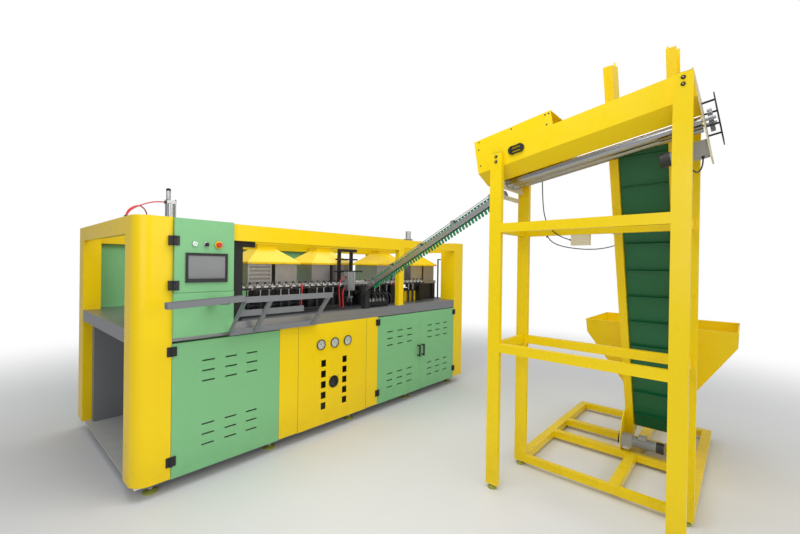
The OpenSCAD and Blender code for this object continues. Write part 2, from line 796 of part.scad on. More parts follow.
module loading_frame() {
  color("black") {
    box([machine_w - 32, column_d, guard_z], [machine_w - 16, column_d + 205, guard_z + 16]);
    box([machine_w - 32, column_d + 189, deck_z], [machine_w - 16, column_d + 205, guard_z - seat]);
    box([pillar_x0, strip_d + seat, deck_z], [pillar_x1, strip_d + 60, beam_bot]);
    box([pillar_x1 + seat, strip_d + seat, beam_bot - 48], [pillar_x1 + 110, strip_d + 40, beam_bot]);
    box([2290, bank_y, deck_z], [2600, bank_y + 60, bank_z]);
    for (x = [2070, 2250]) box([x, frame_y, deck_z], [x + 32, frame_y + 30, frame_top]);
    box([2020, frame_y - 30, frame_top - 128], [2330, frame_y - seat, frame_top - 110]);
    box([2000, frame_y - 30, frame_top - 266], [2410, frame_y - seat, frame_top - 248]);
    box([loader_x - 52, loader_y - 37, loader_z + loader_h],
      [loader_x + 52, frame_y - 30 - seat, loader_z + loader_h + 12]);
    box([2060, frame_y - 50, frame_top - 33], [2300, frame_y - seat, frame_top]);
    box([chute_x - 34, 0, deck_z], [chute_x + 34, beam_d, foot_top]);
    box([chute_x - 60, 12, deck_z + 150], [chute_x - 34 - seat, 48, foot_top + 70]);
  }
}

module loading_gripper() {
  color("silver") {
    translate([loader_x, loader_y, loader_z - 65]) {
      cylinder(r = 8, h = 160);
      box([-34, -26, -20], [34, 26, 0]);
      for (s = [-24, 24]) box([s - 5, -12, -65], [s + 5, 12, -20]);
    }
  }
}

// Outfeed tray in front of the worktop, with the slide that leads left from it
tray_x0 = 640;
tray_x1 = 1460;
tray_y = 320;
tray_z = 1445;

tray_low = band_z + 5;
leg_w = 34;
leg_x = [845, tray_x1 - 35];
slide_l = 530;
slide_w = 62;
slide_tilt = 2.5;

module outfeed_tray() {
  x_box = x_door + box_w;
  x_bar = x_box + 70;
  color("darkgray") {
    box([tray_x0 + 5 + seat, -tray_y, tray_z - 45], [tray_x1, -tray_y + 20, tray_z]);
    box([x_bar, -40, tray_low], [tray_x1 + 40, 0, tray_low + 40]);
    box([x_box + 2, -box_out - 12 + seat, tray_low], [x_bar - seat, 0, tray_low + 40]);
    box([tray_x0 + 5 + seat, -box_out - 20, tray_low], [x_bar - seat, -box_out - 12, tray_low + 40]);
    for (x = leg_x) translate([x + leg_w, 0, 0]) rotate([0, -90, 0]) linear_extrude(leg_w)
      polygon([[tray_low + 35, -40 - seat], [tray_low + 2, -40 - seat],
        [tray_z - 38, -tray_y + 20 + seat], [tray_z - 5, -tray_y + 20 + seat]]);
    translate([tray_x0 + 5, 0, 0]) rotate([0, -90, 0]) linear_extrude(5)
      polygon([[tray_low + 50, -box_out - 12], [tray_low, -box_out - 12], [tray_z - 45, -tray_y],
        [tray_z, -tray_y], [tray_z, -tray_y + 30]]);
    for (x = [[tray_x0 + 5, leg_x[0]], [leg_x[0] + leg_w, 1240]])
      box([x[0] + seat, -190, 1282], [x[1] - seat, -182, 1330]);
    box([468, -tray_y + 40, tray_z - 52], [540, -box_out, tray_z - 42]);
    translate([tray_x0, -tray_y, tray_z - 34]) rotate([0, -slide_tilt, 0]) {
      translate([-slide_l, 0, 0]) cube([slide_l - 2, slide_w, 4]);
      for (y = [0, slide_w - 4]) translate([-slide_l, y, 4 + seat]) cube([slide_l - 2, 4, 40]);
    }
  }
}

// Feeder frame
post_x0 = feeder_x;
post_x1 = feeder_x + feeder_span;
post_y_in = -1735;
post_y_out = -2890;
post_yc_in = post_y_in + post_w / 2;
post_yc_out = post_y_out + post_w / 2;
chute_x = (post_x0 + post_t + post_x1) / 2;
base_z = 30;
base_h = 60;
base_w = 70;
base_yl = post_y_in;
base_ym = -2440;
base_x0 = post_x1 + post_t;
cross_a_x = 3100;
cross_b_x = 3480;
base_end_x = 4210;

module feeder_posts() {
  color("gold") for (p = [[post_y_in, post_low], [post_y_out, post_high]]) {
    for (x = [post_x0, post_x1]) box([x, p[0], base_z], [x + post_t, p[0] + post_w, p[1]]);
    for (z = [30, 68]) translate([post_x0, p[0] + post_w / 2, p[1] - z]) rotate([0, -90, 0])
      cylinder(r = 9, h = 6, $fn = 24);
  }
}

// Rails and beams along X, then those along Y
module feeder_rails_x() {
  color("gold") {
    for (z = [beam_lo_z, beam_hi_z], y = [post_yc_in, post_yc_out])
      box([post_x0 + post_t, y - 20, z], [post_x1, y + 20, z + beam_h]);
    box([base_x0, base_yl, base_z], [cross_b_x + base_w, base_yl + base_w, base_z + base_h]);
    for (y = [base_ym, post_y_out])
      box([base_x0, y, base_z], [base_end_x - base_w, y + base_w, base_z + base_h]);
  }
}

module feeder_rails_y() {
  color("gold") {
    for (z = [beam_lo_z, beam_hi_z], x = [post_x0, post_x1])
      box([x, post_y_out + post_w, z], [x + post_t, post_y_in, z + beam_h]);
    box([post_x1, post_y_out + post_w, base_z], [post_x1 + post_t, post_y_in, base_z + base_h]);
    for (x = [cross_a_x, cross_b_x]) {
      box([x, base_ym + base_w, base_z], [x + base_w, base_yl, base_z + base_h]);
      box([x, post_y_out + base_w, base_z], [x + base_w, base_ym, base_z + base_h]);
    }
    box([base_end_x - base_w, post_y_out, base_z], [base_end_x, base_ym + base_w, base_z + base_h]);
  }
}

// Unscrambler: everything here lies in the tilted frame of the rollers
trough_y = -2360;
trough_z = 2492;
trough_hw = chute_x - post_x0 - post_t;
lip_x = roller_dx / 2 + roller_r + 8;
lip_z = 16;
fold_z = 92;
lo_end = 842;
hi_end = -568;

module tilted() {
  translate([chute_x, trough_y, trough_z]) rotate([-trough_tilt, 0, 0]) children();
}

// A flat plate in the tilted frame from y0 to y1 with the outline given as x and z
module slab(y0, y1) {
  translate([0, y1, 0]) rotate([90, 0, 0]) linear_extrude(y1 - y0) children();
}

module trough() {
  t = trough_t;
  w = trough_hw;
  top = fold_z + wall_h;
  color("gold") tilted() {
    for (s = [0, 1]) mirror([s, 0, 0]) {
      slab(hi_end, lo_end - t) polygon([[w, fold_z], [w, top], [w - t, top], [w - t, fold_z + t / 2],
        [lip_x, lip_z + t], [lip_x, lip_z]]);
    }
    slab(220, lo_end - t) difference() {
      translate([-w, top]) square([2 * w, cover_h]);
      translate([-w + t, top - 1]) square([2 * w - 2 * t, cover_h + 1 - t]);
    }
    slab(lo_end - t, lo_end) polygon([[-w, fold_z], [-w, top + cover_h], [w, top + cover_h], [w, fold_z],
      [lip_x, lip_z], [-lip_x, lip_z]]);
  }
}

shaft_r = 12;
gear_y = -604;

// Drive plate, bearing bar, chute bar, junction box and the arms that hold the elevator
module feeder_fittings() {
  w = trough_hw;
  bar_z = chute_z0 + 1635 * tan(chute_tilt) - chute_h / 2 / cos(chute_tilt) - 0.3;
  color("wheat") {
    tilted() difference() {
      union() {
        slab(hi_end - 8, hi_end) polygon([[-w, fold_z + wall_h + 6], [w, fold_z + wall_h + 6], [w, 60],
          [110, -60], [60, -250], [-130, -250], [-150, -60], [-w, 60]]);
        slab(690, 702) polygon([[-w, -55], [w, -55], [w, 8], [95, 8], [90, 28], [-90, 28], [-95, 8], [-w, 8]]);
      }
      for (s = [-1, 1]) rod_y(s * roller_dx / 2, 0, shaft_r + run_fit, -700, 800);
    }
    box([post_x0 + post_t, -1655, bar_z - 30], [post_x1, -1635, bar_z]);
    box([post_x1 + 2, -2222, beam_hi_z - 84], [post_x1 + post_t - 2, -2084, beam_hi_z]);
    for (s = [-1, 1]) translate([0, elev_y + s * (belt_w / 2 + 34) + 20, 0]) rotate([90, 0, 0]) linear_extrude(40)
      polygon([[base_x0, beam_hi_z + 12], [face_x(beam_hi_z + 12, -side_r - seat), beam_hi_z + 12],
        [face_x(beam_hi_z + 52, -side_r - seat), beam_hi_z + 52], [base_x0, beam_hi_z + 52]]);
  }
}

module gear() {
  p = roller_dx / 2;
  pitch = 2 * PI * p / gear_teeth;
  circle(r = p - pitch * 0.34, $fn = 96);
  for (k = [0 : gear_teeth - 1]) rotate([0, 0, k * 360 / gear_teeth]) polygon([
    [p - pitch * 0.4, -pitch * 0.29], [p + pitch * 0.26, -pitch * 0.13],
    [p + pitch * 0.26, pitch * 0.13], [p - pitch * 0.4, pitch * 0.29]]);
}

module roller(x, turn) {
  color("gainsboro") tilted() {
    rod_y(x, 0, roller_r, hi_end + 8, 682);
    rod_y(x, 0, shaft_r, gear_y - 24, 712);
    translate([x, 0, 0]) slab(gear_y - 12, gear_y + 12) rotate([0, 0, turn]) gear();
  }
}

module roller_near() {
  roller(-roller_dx / 2, 0);
}

module roller_far() {
  roller(roller_dx / 2, 180 / gear_teeth + 180);
}

// Black guards, spacers and the oval grip on the trough wall
grip_r = 32;

module drive_guard() {
  color("black") {
    tilted() {
      slab(-642, -636) polygon([[-120, 120], [120, 120], [130, 60], [130, -70], [70, -150], [-90, -150], [-130, -70], [-130, 60]]);
      for (x = [-105, 105], z = [-60, 80]) rod_y(x, z, 6, -636, hi_end - 8);
      translate([-trough_hw, 505, 176]) rotate([0, -90, 0]) linear_extrude(14) difference() {
        union() {
          for (s = [-1, 1]) translate([0, s * 30]) circle(r = grip_r);
          square([2 * grip_r - 4, 60], center = true);
        }
        for (s = [-1, 1]) translate([s * 14, 0]) square([15, 70], center = true);
      }
    }
    translate([0, side_y + 8 + 14.3, 0]) rotate([90, 0, 0]) linear_extrude(14) {
      translate([motor_x, motor_z]) circle(r = 46);
      translate([drum_lo_x, drum_lo_z]) circle(r = 46);
      translate([motor_x, motor_z]) rotate(atan2(drum_lo_z - motor_z, drum_lo_x - motor_x)) translate([0, -42])
        square([norm([drum_lo_x - motor_x, drum_lo_z - motor_z]), 84]);
    }
  }
}

motor_x = 3155;
motor_z = 180;

// Two gear motors: one on the drive plate, one at the foot of the elevator
module gear_motors() {
  color("silver") {
    tilted() {
      translate([-112, hi_end, -222]) cube([90, 84, 90]);
      rod_y(-67, -177, 40, hi_end + 84, hi_end + 240);
      translate([-97, hi_end + 110, -142]) cube([60, 60, 32]);
    }
    box([motor_x - 46, side_y - 84, motor_z - 46], [motor_x + 46, side_y, motor_z + 46]);
    rod_y(motor_x, motor_z, 40, side_y - 320, side_y - 84);
    box([motor_x - 30, side_y - 190, motor_z + 36], [motor_x + 30, side_y - 130, motor_z + 62]);
  }
}

// Preform chute from the rollers down to the loading station
chute_z0 = 1455;
chute_top = -1850;
chute_low = 50;
foot_top = chute_z0 - chute_low * sin(chute_tilt) - chute_h / 2 * cos(chute_tilt) - 0.3;
rail_t = 8;

module on_chute() {
  translate([chute_x, 0, chute_z0]) rotate([-chute_tilt, 0, 0]) children();
}

module chute() {
  g = chute_gap / 2;
  color("silver") on_chute() for (s = [0, 1]) mirror([s, 0, 0]) {
    box([g, chute_top, -chute_h / 2], [g + rail_t, chute_low, chute_h / 2]);
    rod_y(g + 4, chute_h / 2 + 34, 4, chute_top + 40, chute_low - 60);
  }
  color("silver") on_chute() for (y = [-1740, -1310, -880, -450, -120]) difference() {
    box([-g - rail_t - 3.3, y, -chute_h / 2 + 4], [g + rail_t + 3.3, y + 32, chute_h / 2 + 42]);
    box([-g - rail_t - 0.3, y - 1, -chute_h], [g + rail_t + 0.3, y + 33, chute_h / 2 + 38.3]);
  }
}

module preforms() {
  color("seagreen") on_chute() for (y = [-1690 : preform_pitch : -90]) translate([0, y, chute_h / 2]) {
    cylinder(r = preform_r + 6, h = 3, $fn = 20);
    cylinder(r = preform_r + 2, h = 20, $fn = 20);
    translate([0, 0, preform_r - preform_l]) {
      cylinder(r = preform_r, h = preform_l - preform_r, $fn = 20);
      sphere(r = preform_r, $fn = 16);
    }
  }
}

// Inclined elevator: its frame runs up along z and carries on the high x side
elev_y = -2538;
lean = atan((drum_lo_x - drum_hi_x) / (drum_hi_z - drum_lo_z));
elev_l = norm([drum_lo_x - drum_hi_x, drum_hi_z - drum_lo_z]);
side_y = elev_y + belt_w / 2 + 64.3;
side_r = 90;
side_over = 333;
function face_x(z, off) = drum_lo_x - tan(lean) * (z - drum_lo_z) + off / cos(lean);

module inclined() {
  translate([drum_lo_x, elev_y, drum_lo_z]) rotate([0, -lean, 0]) children();
}

module elevator_sides() {
  w = belt_w / 2 + 4;
  color("gold") {
    inclined() for (s = [0, 1]) mirror([0, s, 0]) difference() {
      union() {
        translate([0, 0, -110]) linear_extrude(elev_l + 110 + side_over) polygon([
          [-side_r, w], [side_r, w], [side_r, w + 60], [side_r - 4, w + 60], [side_r - 4, w + 4],
          [4 - side_r, w + 4], [4 - side_r, w + 60], [-side_r, w + 60]]);
        for (z = [0, elev_l]) translate([0, w + 4, z]) rotate([-90, 0, 0]) cylinder(r = 38, h = 16);
        translate([0, w + 2, elev_l + side_over - 5]) cylinder(r = 6, h = 28);
      }
      for (z = [0, elev_l]) translate([0, w - 1, z]) rotate([-90, 0, 0]) cylinder(r = 15 + run_fit, h = 30);
    }
    for (y = [side_y, 2 * elev_y - side_y - 8]) translate([0, y + 8, 0]) rotate([90, 0, 0]) linear_extrude(8)
      polygon([[cross_a_x, base_z + base_h], [cross_b_x + base_w, base_z + base_h], [cross_b_x + base_w, 330],
        [cross_b_x - 20, 400], [cross_a_x + 150, 400], [cross_a_x + 60, 330], [cross_a_x, 230]]);
  }
}

module belt_outline(r) {
  circle(r = r, $fn = 48);
  translate([0, elev_l]) circle(r = r, $fn = 48);
  translate([-r, 0]) square([2 * r, elev_l]);
}

module elevator_belt() {
  r = drum_r + 0.4;
  color("darkgreen") inclined() translate([0, belt_w / 2, 0]) rotate([90, 0, 0]) {
    linear_extrude(belt_w) difference() {
      belt_outline(r + 4);
      belt_outline(r);
    }
    translate([0, 0, 10]) linear_extrude(belt_w - 20) for (k = [0 : cleat_n - 1])
      translate([-r - 3 - cleat_h, (k + 0.5) * elev_l / cleat_n]) {
        square([cleat_h, 5]);
        translate([2 * r + 6 + cleat_h, 60]) square([cleat_h, 5]);
      }
  }
}

module drum(z) {
  color("gainsboro") inclined() translate([0, 0, z]) {
    rod_y(0, 0, drum_r, -belt_w / 2, belt_w / 2);
    rod_y(0, 0, 15, -belt_w / 2 - 22, belt_w / 2 + 22);
  }
}

module drum_lower() {
  drum(0);
}

module drum_upper() {
  drum(elev_l);
}

// Hopper behind the elevator
hopper_x0 = 2900;
hopper_x1 = 3950;
hopper_fold = hopper_z - 125;
boot_x1 = 3640;
boot_hw = belt_w / 2 + 64;
boot_top = 560;
boot_low = 330;

// Solid hopper shape, drawn in by d on every side
module hopper_body(d, top) {
  box([hopper_x0, -hopper_hw + d, hopper_fold], [hopper_x1 - d, hopper_hw - d, top]);
  box([hopper_x0, -boot_hw + d, boot_low + d], [boot_x1 - d, boot_hw - d, boot_top + 0.01]);
  polyhedron(points = [
    [hopper_x0, -boot_hw + d, boot_top], [boot_x1 - d, -boot_hw + d, boot_top],
    [boot_x1 - d, boot_hw - d, boot_top], [hopper_x0, boot_hw - d, boot_top],
    [hopper_x0, -hopper_hw + d, hopper_fold + 0.01], [hopper_x1 - d, -hopper_hw + d, hopper_fold + 0.01],
    [hopper_x1 - d, hopper_hw - d, hopper_fold + 0.01], [hopper_x0, hopper_hw - d, hopper_fold + 0.01]],
    faces = [[0, 1, 2, 3], [4, 7, 6, 5], [0, 4, 5, 1], [1, 5, 6, 2], [2, 6, 7, 3], [3, 7, 4, 0]]);
}

module hopper() {
  color("gold") difference() {
    translate([0, elev_y, 0]) difference() {
      hopper_body(0, hopper_z);
      hopper_body(trough_t, hopper_z + 1);
    }
    inclined() box([-elev_l, -2 * hopper_hw, -elev_l / 2], [side_r + seat, 2 * hopper_hw, 1.5 * elev_l]);
  }
}

// Free lines: each is a smooth tube through a few points
cable_r = 4;
hose_r = 5;
red_paths = [
  [[20, 300, machine_h + 0.6], [20, 300, machine_h + 28], [60, 334, 2096], [150, 430, 2150],
    [255, 540, 2196], [330, 604, 2214], [clamp_xc - 39.4, clamp_yc - 2, bridge_z + 366]],
  [[20, 330, machine_h + 0.6], [20, 330, machine_h + 30], [60, 372, 2106], [140, 470, 2150],
    [200, 520, 2126], [236, 580, 2030], [246, clamp_yc, 1930], [246, clamp_yc, bridge_z + 20.8]],
  [[loader_x - 53, 215, 1560], [2020, 215, 1560], [1966, 205, 1500], [1948, 190, 1380],
    [1955, 180, 1270], [1955, 180, deck_z + 0.6]],
  [[loader_x - 53, 200, 1440], [2030, 200, 1440], [1994, 170, 1390], [1986, 150, 1300],
    [1986, 150, deck_z + 0.6]],
  for (x = [2830, 2885]) [[x, 100, deck_z + 0.6], [x, 100, 1290], [x + 8, 115, 1370], [x + 26, 165, 1430],
    [x + 44, 225, 1460], [x + 46, conv_y - 1.2, 1462]],
  [[1440, 150, deck_z + 0.6], [1440, 150, 1380], [1450, 156, 1480], [1478, 186, 1530], [1498, 220, 1500],
    [1505, 244, 1466], [1506, conv_y - 1.2, 1461]]
];
black_paths = [for (k = [0 : 4]) let(x = 2312 + 58 * k, h = 6 * (k % 2)) [[x, bank_y + 36, bank_z + 1],
  [x, bank_y + 30, bank_z + 55], [x + 4, 55, bank_z + 98 + h], [x + 10, 2, bank_z + 84 + h],
  [x + 16, -28 - h, bank_z + 22], [x + 21, -8, bank_z - 32], [x + 22, bank_y - 0.6, bank_z - 36]]];
cable_path = [[chute_x + 170.3, -1867.7, 2463.1], [chute_x + 184, -1868, 2430], [2384, -1870, 2300],
  [2378, -1880, 2190], [2384, -1895, 2090], [2405, -1925, 2020], [2420, -1980, 1965],
  [post_x1 + 15, -2050, 1926], [post_x1 + 16, -2083.2, 1922]];

function smooth(p, n) = [for (i = [0 : len(p) - 2], k = [0 : n - 1]) let(
    t = k / n, a = p[max(i - 1, 0)], b = p[i], c = p[i + 1], d = p[min(i + 2, len(p) - 1)])
  0.5 * (2 * b + (c - a) * t + (2 * a - 5 * b + 4 * c - d) * t * t + (3 * b - a - 3 * c + d) * t * t * t)];

module tube(path, r, n) {
  pts = concat(smooth(path, 5), [path[len(path) - 1]]);
  m = len(pts);
  flat = cross(pts[m - 1] - pts[0], pts[floor(m / 2)] - pts[0]);
  side = [for (i = [0 : m - 1]) let(
    d = pts[min(i + 1, m - 1)] - pts[max(i - 1, 0)], e = d / norm(d), u = cross(e, flat),
    v = u / norm(u)) [v, cross(e, v)]];
  polyhedron(points = [for (i = [0 : m - 1], k = [0 : n - 1])
      pts[i] + r * (cos(k * 360 / n) * side[i][0] + sin(k * 360 / n) * side[i][1])],
    faces = concat([[for (k = [0 : n - 1]) k]], [[for (k = [0 : n - 1]) m * n - 1 - k]],
      [for (i = [0 : m - 2], k = [0 : n - 1])
        [i * n + k, (i + 1) * n + k, (i + 1) * n + (k + 1) % n, i * n + (k + 1) % n]]));
}

module red_hoses() {
  color("red") for (path = red_paths) tube(path, hose_r, 8);
}

module black_hoses() {
  color("black") for (path = black_paths) tube(path, hose_r, 8);
}

module feeder_cable() {
  color("black") tube(cable_path, cable_r, 8);
}

// Everything is drawn from the cabinet corner and moved to the frame origin
module place() {
  translate([-foot_x, -foot_y, 0]) children();
}

place() base_long_rails();
place() base_cross_rails();
place() base_plate();
place() levelling_feet();
place() front_columns();
place() rear_columns();
place() front_strips();
place() valve_panel();
place() fixed_panels();
place() hinge_halves();
place() lower_door();
place() lower_door_leaves();
place() double_door_left();
place() double_left_fittings();
place() double_door_right();
place() double_right_fittings();
place() control_box();
place() control_door();
place() control_door_fittings();
place() hmi_screen();
place() start_button();
place() selector_switch();
place() emergency_stop();
place() gauges();
place() fan_housing();
place() fan_rotor();
place() deck();
place() deck_supports();
place() top_beams();
place() inner_cabinet();
place() ovens();
place() oven_hoods();
place() conveyor();
place() clamp_frame();
place() mould_front();
place() mould_rear();
place() air_cylinders();
place() stretch_carriage();
place() loading_frame();
place() loading_gripper();
place() outfeed_tray();
place() red_hoses();
place() black_hoses();
place() feeder_posts();
place() feeder_rails_x();
place() feeder_rails_y();
place() trough();
place() feeder_fittings();
place() drive_guard();
place() roller_near();
place() roller_far();
place() gear_motors();
place() chute();
place() preforms();
place() elevator_sides();
place() elevator_belt();
place() drum_upper();
place() drum_lower();
place() hopper();
place() feeder_cable();
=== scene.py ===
"""Looks of a linear bottle blow moulding machine with its preform feeding unit.

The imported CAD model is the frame. This script gives every node a procedural material, adds the
small visible parts that carry no load, and sets the floor, the light and the camera.
Points are written in millimetres from the cabinet's front left floor corner, as in the CAD source.
"""

import math

import bmesh
import bpy
from mathutils import Matrix, Vector


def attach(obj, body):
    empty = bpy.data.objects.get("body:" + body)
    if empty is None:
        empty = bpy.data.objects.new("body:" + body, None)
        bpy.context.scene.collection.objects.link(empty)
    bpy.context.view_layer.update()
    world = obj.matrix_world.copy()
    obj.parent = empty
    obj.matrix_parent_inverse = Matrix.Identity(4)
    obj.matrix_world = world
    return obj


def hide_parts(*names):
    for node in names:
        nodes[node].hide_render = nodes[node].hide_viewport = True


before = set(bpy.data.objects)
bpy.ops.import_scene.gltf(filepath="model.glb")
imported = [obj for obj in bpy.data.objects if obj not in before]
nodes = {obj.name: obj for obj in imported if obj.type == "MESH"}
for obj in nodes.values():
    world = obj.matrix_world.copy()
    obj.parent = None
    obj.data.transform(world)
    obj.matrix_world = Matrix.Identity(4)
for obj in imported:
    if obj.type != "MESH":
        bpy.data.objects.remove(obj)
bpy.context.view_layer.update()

# The frame origin seen from the cabinet corner, in millimetres
FOOT = Vector((150, 140, 0))


def at(x, y, z):
    """A point given in millimetres from the cabinet corner, in the row frame in metres."""
    return (Vector((x, y, z)) - FOOT) / 1000


# Materials


class Shader:
    """A Principled material with small helpers for procedural inputs."""

    def __init__(self, name, rough=0.4, metal=0.0, **sockets):
        self.mat = bpy.data.materials.new(name)
        self.mat.use_nodes = True
        self.tree = self.mat.node_tree
        self.bsdf = self.tree.nodes["Principled BSDF"]
        self.bsdf.inputs["Roughness"].default_value = rough
        self.bsdf.inputs["Metallic"].default_value = metal
        for key, value in sockets.items():
            self.bsdf.inputs[key.replace("_", " ")].default_value = value
        self.coord = self.node("ShaderNodeTexCoord")

    def node(self, kind, **props):
        """A new shader node with the given properties."""
        n = self.tree.nodes.new(kind)
        for key, value in props.items():
            setattr(n, key, value)
        return n

    def link(self, a, b):
        """Output a feeds input b."""
        self.tree.links.new(a, b)

    def noise(self, scale, detail, rough, stretch=(1, 1, 1)):
        """Noise over the object, as a factor from 0 to 1."""
        mapping = self.node("ShaderNodeMapping")
        mapping.inputs["Scale"].default_value = stretch
        self.link(self.coord.outputs["Object"], mapping.inputs["Vector"])
        n = self.node("ShaderNodeTexNoise")
        n.inputs["Scale"].default_value = scale
        n.inputs["Detail"].default_value = detail
        n.inputs["Roughness"].default_value = rough
        self.link(mapping.outputs[0], n.inputs["Vector"])
        return n.outputs["Fac"]

    def ramp(self, fac, stops):
        """The factor turned into the colours of the stops."""
        r = self.node("ShaderNodeValToRGB")
        while len(r.color_ramp.elements) < len(stops):
            r.color_ramp.elements.new(0.5)
        for e, (pos, col) in zip(r.color_ramp.elements, stops):
            e.position = pos
            e.color = (*col, 1)
        self.link(fac, r.inputs["Fac"])
        return r.outputs["Color"]

    def mix(self, fac, a, b):
        """Colour a turned into colour b by the factor; each may be a socket or a value."""
        m = self.node("ShaderNodeMix", data_type="RGBA")
        for socket, value in ((m.inputs[0], fac), (m.inputs[6], a), (m.inputs[7], b)):
            if hasattr(value, "links"):
                self.link(value, socket)
            elif isinstance(value, (int, float)):
                socket.default_value = value
            else:
                socket.default_value = (*value, 1)
        return m.outputs[2]

    def spread(self, fac, low, high):
        """The factor mapped onto low to high."""
        m = self.node("ShaderNodeMapRange")
        m.inputs["From Min"].default_value = 0.3
        m.inputs["From Max"].default_value = 0.7
        m.inputs["To Min"].default_value = low
        m.inputs["To Max"].default_value = high
        self.link(fac, m.inputs["Value"])
        return m.outputs[0]

    def height(self, low, high):
        """A factor that runs from 1 at height low to 0 at height high, in metres."""
        sep = self.node("ShaderNodeSeparateXYZ")
        self.link(self.coord.outputs["Object"], sep.inputs[0])
        m = self.node("ShaderNodeMapRange")
        m.inputs["From Min"].default_value = low
        m.inputs["From Max"].default_value = high
        m.inputs["To Min"].default_value = 1
        m.inputs["To Max"].default_value = 0
        self.link(sep.outputs["Z"], m.inputs["Value"])
        return m.outputs[0]

    def math(self, op, a, b):
        """The result of the operation on a and b; each may be a socket or a value."""
        m = self.node("ShaderNodeMath", operation=op)
        for socket, value in zip(m.inputs, (a, b)):
            if hasattr(value, "links"):
                self.link(value, socket)
            else:
                socket.default_value = value
        return m.outputs[0]

    def color(self, socket):
        """The socket gives the base colour."""
        self.link(socket, self.bsdf.inputs["Base Color"])

    def roughness(self, socket):
        """The socket gives the roughness."""
        self.link(socket, self.bsdf.inputs["Roughness"])

    def bump(self, fac, strength, distance=0.001):
        """The factor read as relief, its distance in metres."""
        b = self.node("ShaderNodeBump")
        b.inputs["Strength"].default_value = strength
        b.inputs["Distance"].default_value = distance
        self.link(fac, b.inputs["Height"])
        self.link(b.outputs[0], self.bsdf.inputs["Normal"])


def paint(name, base, dark, rough=0.32, grime=0.22, coat=0.06):
    """Sprayed enamel on sheet metal: slight cloudiness, orange peel, dust towards the floor."""
    s = Shader(name, rough, Coat_Weight=coat, Coat_Roughness=0.12, Specular_IOR_Level=0.32)
    clouds = s.noise(1.3, 4, 0.6)
    col = s.mix(s.spread(clouds, 0.0, 0.12), base, dark)
    fine = s.noise(38, 5, 0.65)
    col = s.mix(s.spread(fine, 0.0, 0.04), col, tuple(min(1, c * 1.2) for c in base))
    low = s.math("MULTIPLY", s.height(0.10, 0.42), s.spread(s.noise(9, 5, 0.7), 0.2, 1.0))
    low = s.math("MULTIPLY", low, grime)
    col = s.mix(low, col, tuple(c * 0.42 for c in dark))
    specks = s.ramp(s.noise(150, 2, 0.5), [(0.0, (0, 0, 0)), (0.73, (0, 0, 0)), (0.76, (1, 1, 1))])
    col = s.mix(s.math("MULTIPLY", specks, 0.10), col, tuple(c * 0.35 for c in dark))
    s.color(col)
    s.roughness(s.spread(s.noise(7, 5, 0.6), rough - 0.07, rough + 0.12))
    s.bump(s.noise(420, 2, 0.5), 0.03)
    return s.mat


def metal(name, base, rough=0.35, brush=(1, 1, 1), streak=0.25, metallic=1.0):
    """Bare or plated metal with brush lines along the axis whose scale is small."""
    s = Shader(name, rough, metallic)
    lines = s.noise(90, 3, 0.6, brush)
    blotch = s.noise(6, 5, 0.7)
    col = s.mix(s.spread(lines, 0.0, streak), base, tuple(c * 0.6 for c in base))
    col = s.mix(s.spread(blotch, 0.0, 0.18), col, tuple(c * 0.55 for c in base))
    s.color(col)
    s.roughness(s.spread(lines, rough - 0.08, rough + 0.14))
    s.bump(lines, 0.12, 0.0006)
    return s.mat


def plastic(name, base, rough=0.45, grain=260, bump=0.15, dust=0.16, **sockets):
    """Moulded plastic with a fine grain and faint dust."""
    s = Shader(name, rough, **sockets)
    film = s.noise(14, 5, 0.7)
    col = s.mix(s.spread(film, 0.0, dust), base, tuple(min(1, c * 1.5 + 0.03) for c in base))
    s.color(col)
    s.roughness(s.spread(film, rough - 0.06, rough + 0.12))
    s.bump(s.noise(grain, 2, 0.5), bump, 0.0004)
    return s.mat


WORKTOP_GREY = (0.36, 0.37, 0.39)
YELLOW = paint("yellow_enamel", (0.92, 0.645, 0.001), (0.84, 0.52, 0.001))
YELLOW_FEEDER = paint("yellow_enamel_feeder", (0.93, 0.675, 0.001), (0.86, 0.56, 0.001), rough=0.28)
GREEN = paint("green_enamel", (0.215, 0.52, 0.240), (0.17, 0.44, 0.20))
GREY = paint("grey_enamel", (0.20, 0.21, 0.23), (0.14, 0.15, 0.17), rough=0.42)
BAND = metal("worktop_steel", WORKTOP_GREY, 0.38, (0.05, 1, 1), 0.3)
WHITE = paint("pale_enamel", (0.62, 0.63, 0.62), (0.5, 0.51, 0.5), rough=0.45)
BEIGE = paint("beige_enamel", (0.72, 0.66, 0.48), (0.62, 0.55, 0.38), rough=0.4)
BLACK = paint("black_powder_coat", (0.022, 0.022, 0.024), (0.012, 0.012, 0.013), rough=0.45, grime=0.2,
              coat=0.0)
STEEL = metal("brushed_steel", (0.62, 0.62, 0.63), 0.32, (0.08, 1, 1))
STEEL_TURNED = metal("turned_steel", (0.42, 0.42, 0.43), 0.16, (1, 12, 1), 0.25)
OVEN = metal("oven_sheet", (0.50, 0.49, 0.50), 0.45, (1, 1, 0.2), 0.2)
IRON = metal("machined_iron", (0.10, 0.10, 0.11), 0.5, (1, 1, 0.3), 0.2, 0.8)
ALUMINIUM = metal("satin_aluminium", (0.58, 0.59, 0.61), 0.34, (1, 0.1, 1))
DARK_STEEL = metal("blackened_steel", (0.05, 0.05, 0.055), 0.4, (0.05, 1, 1), 0.2, 0.7)
MOTOR = paint("silver_paint", (0.34, 0.35, 0.36), (0.26, 0.27, 0.28), rough=0.35)
BLACK_PLASTIC = plastic("black_plastic", (0.02, 0.02, 0.022))
GREY_PLASTIC = plastic("grey_plastic", (0.10, 0.10, 0.105))
SCREEN = plastic("screen_glass", (0.135, 0.14, 0.145), 0.12, bump=0.0, Coat_Weight=0.6, Coat_Roughness=0.05)
LAMP = plastic("lamp_lens", (0.62, 0.85, 0.72), 0.2, bump=0.02, Transmission_Weight=0.2)
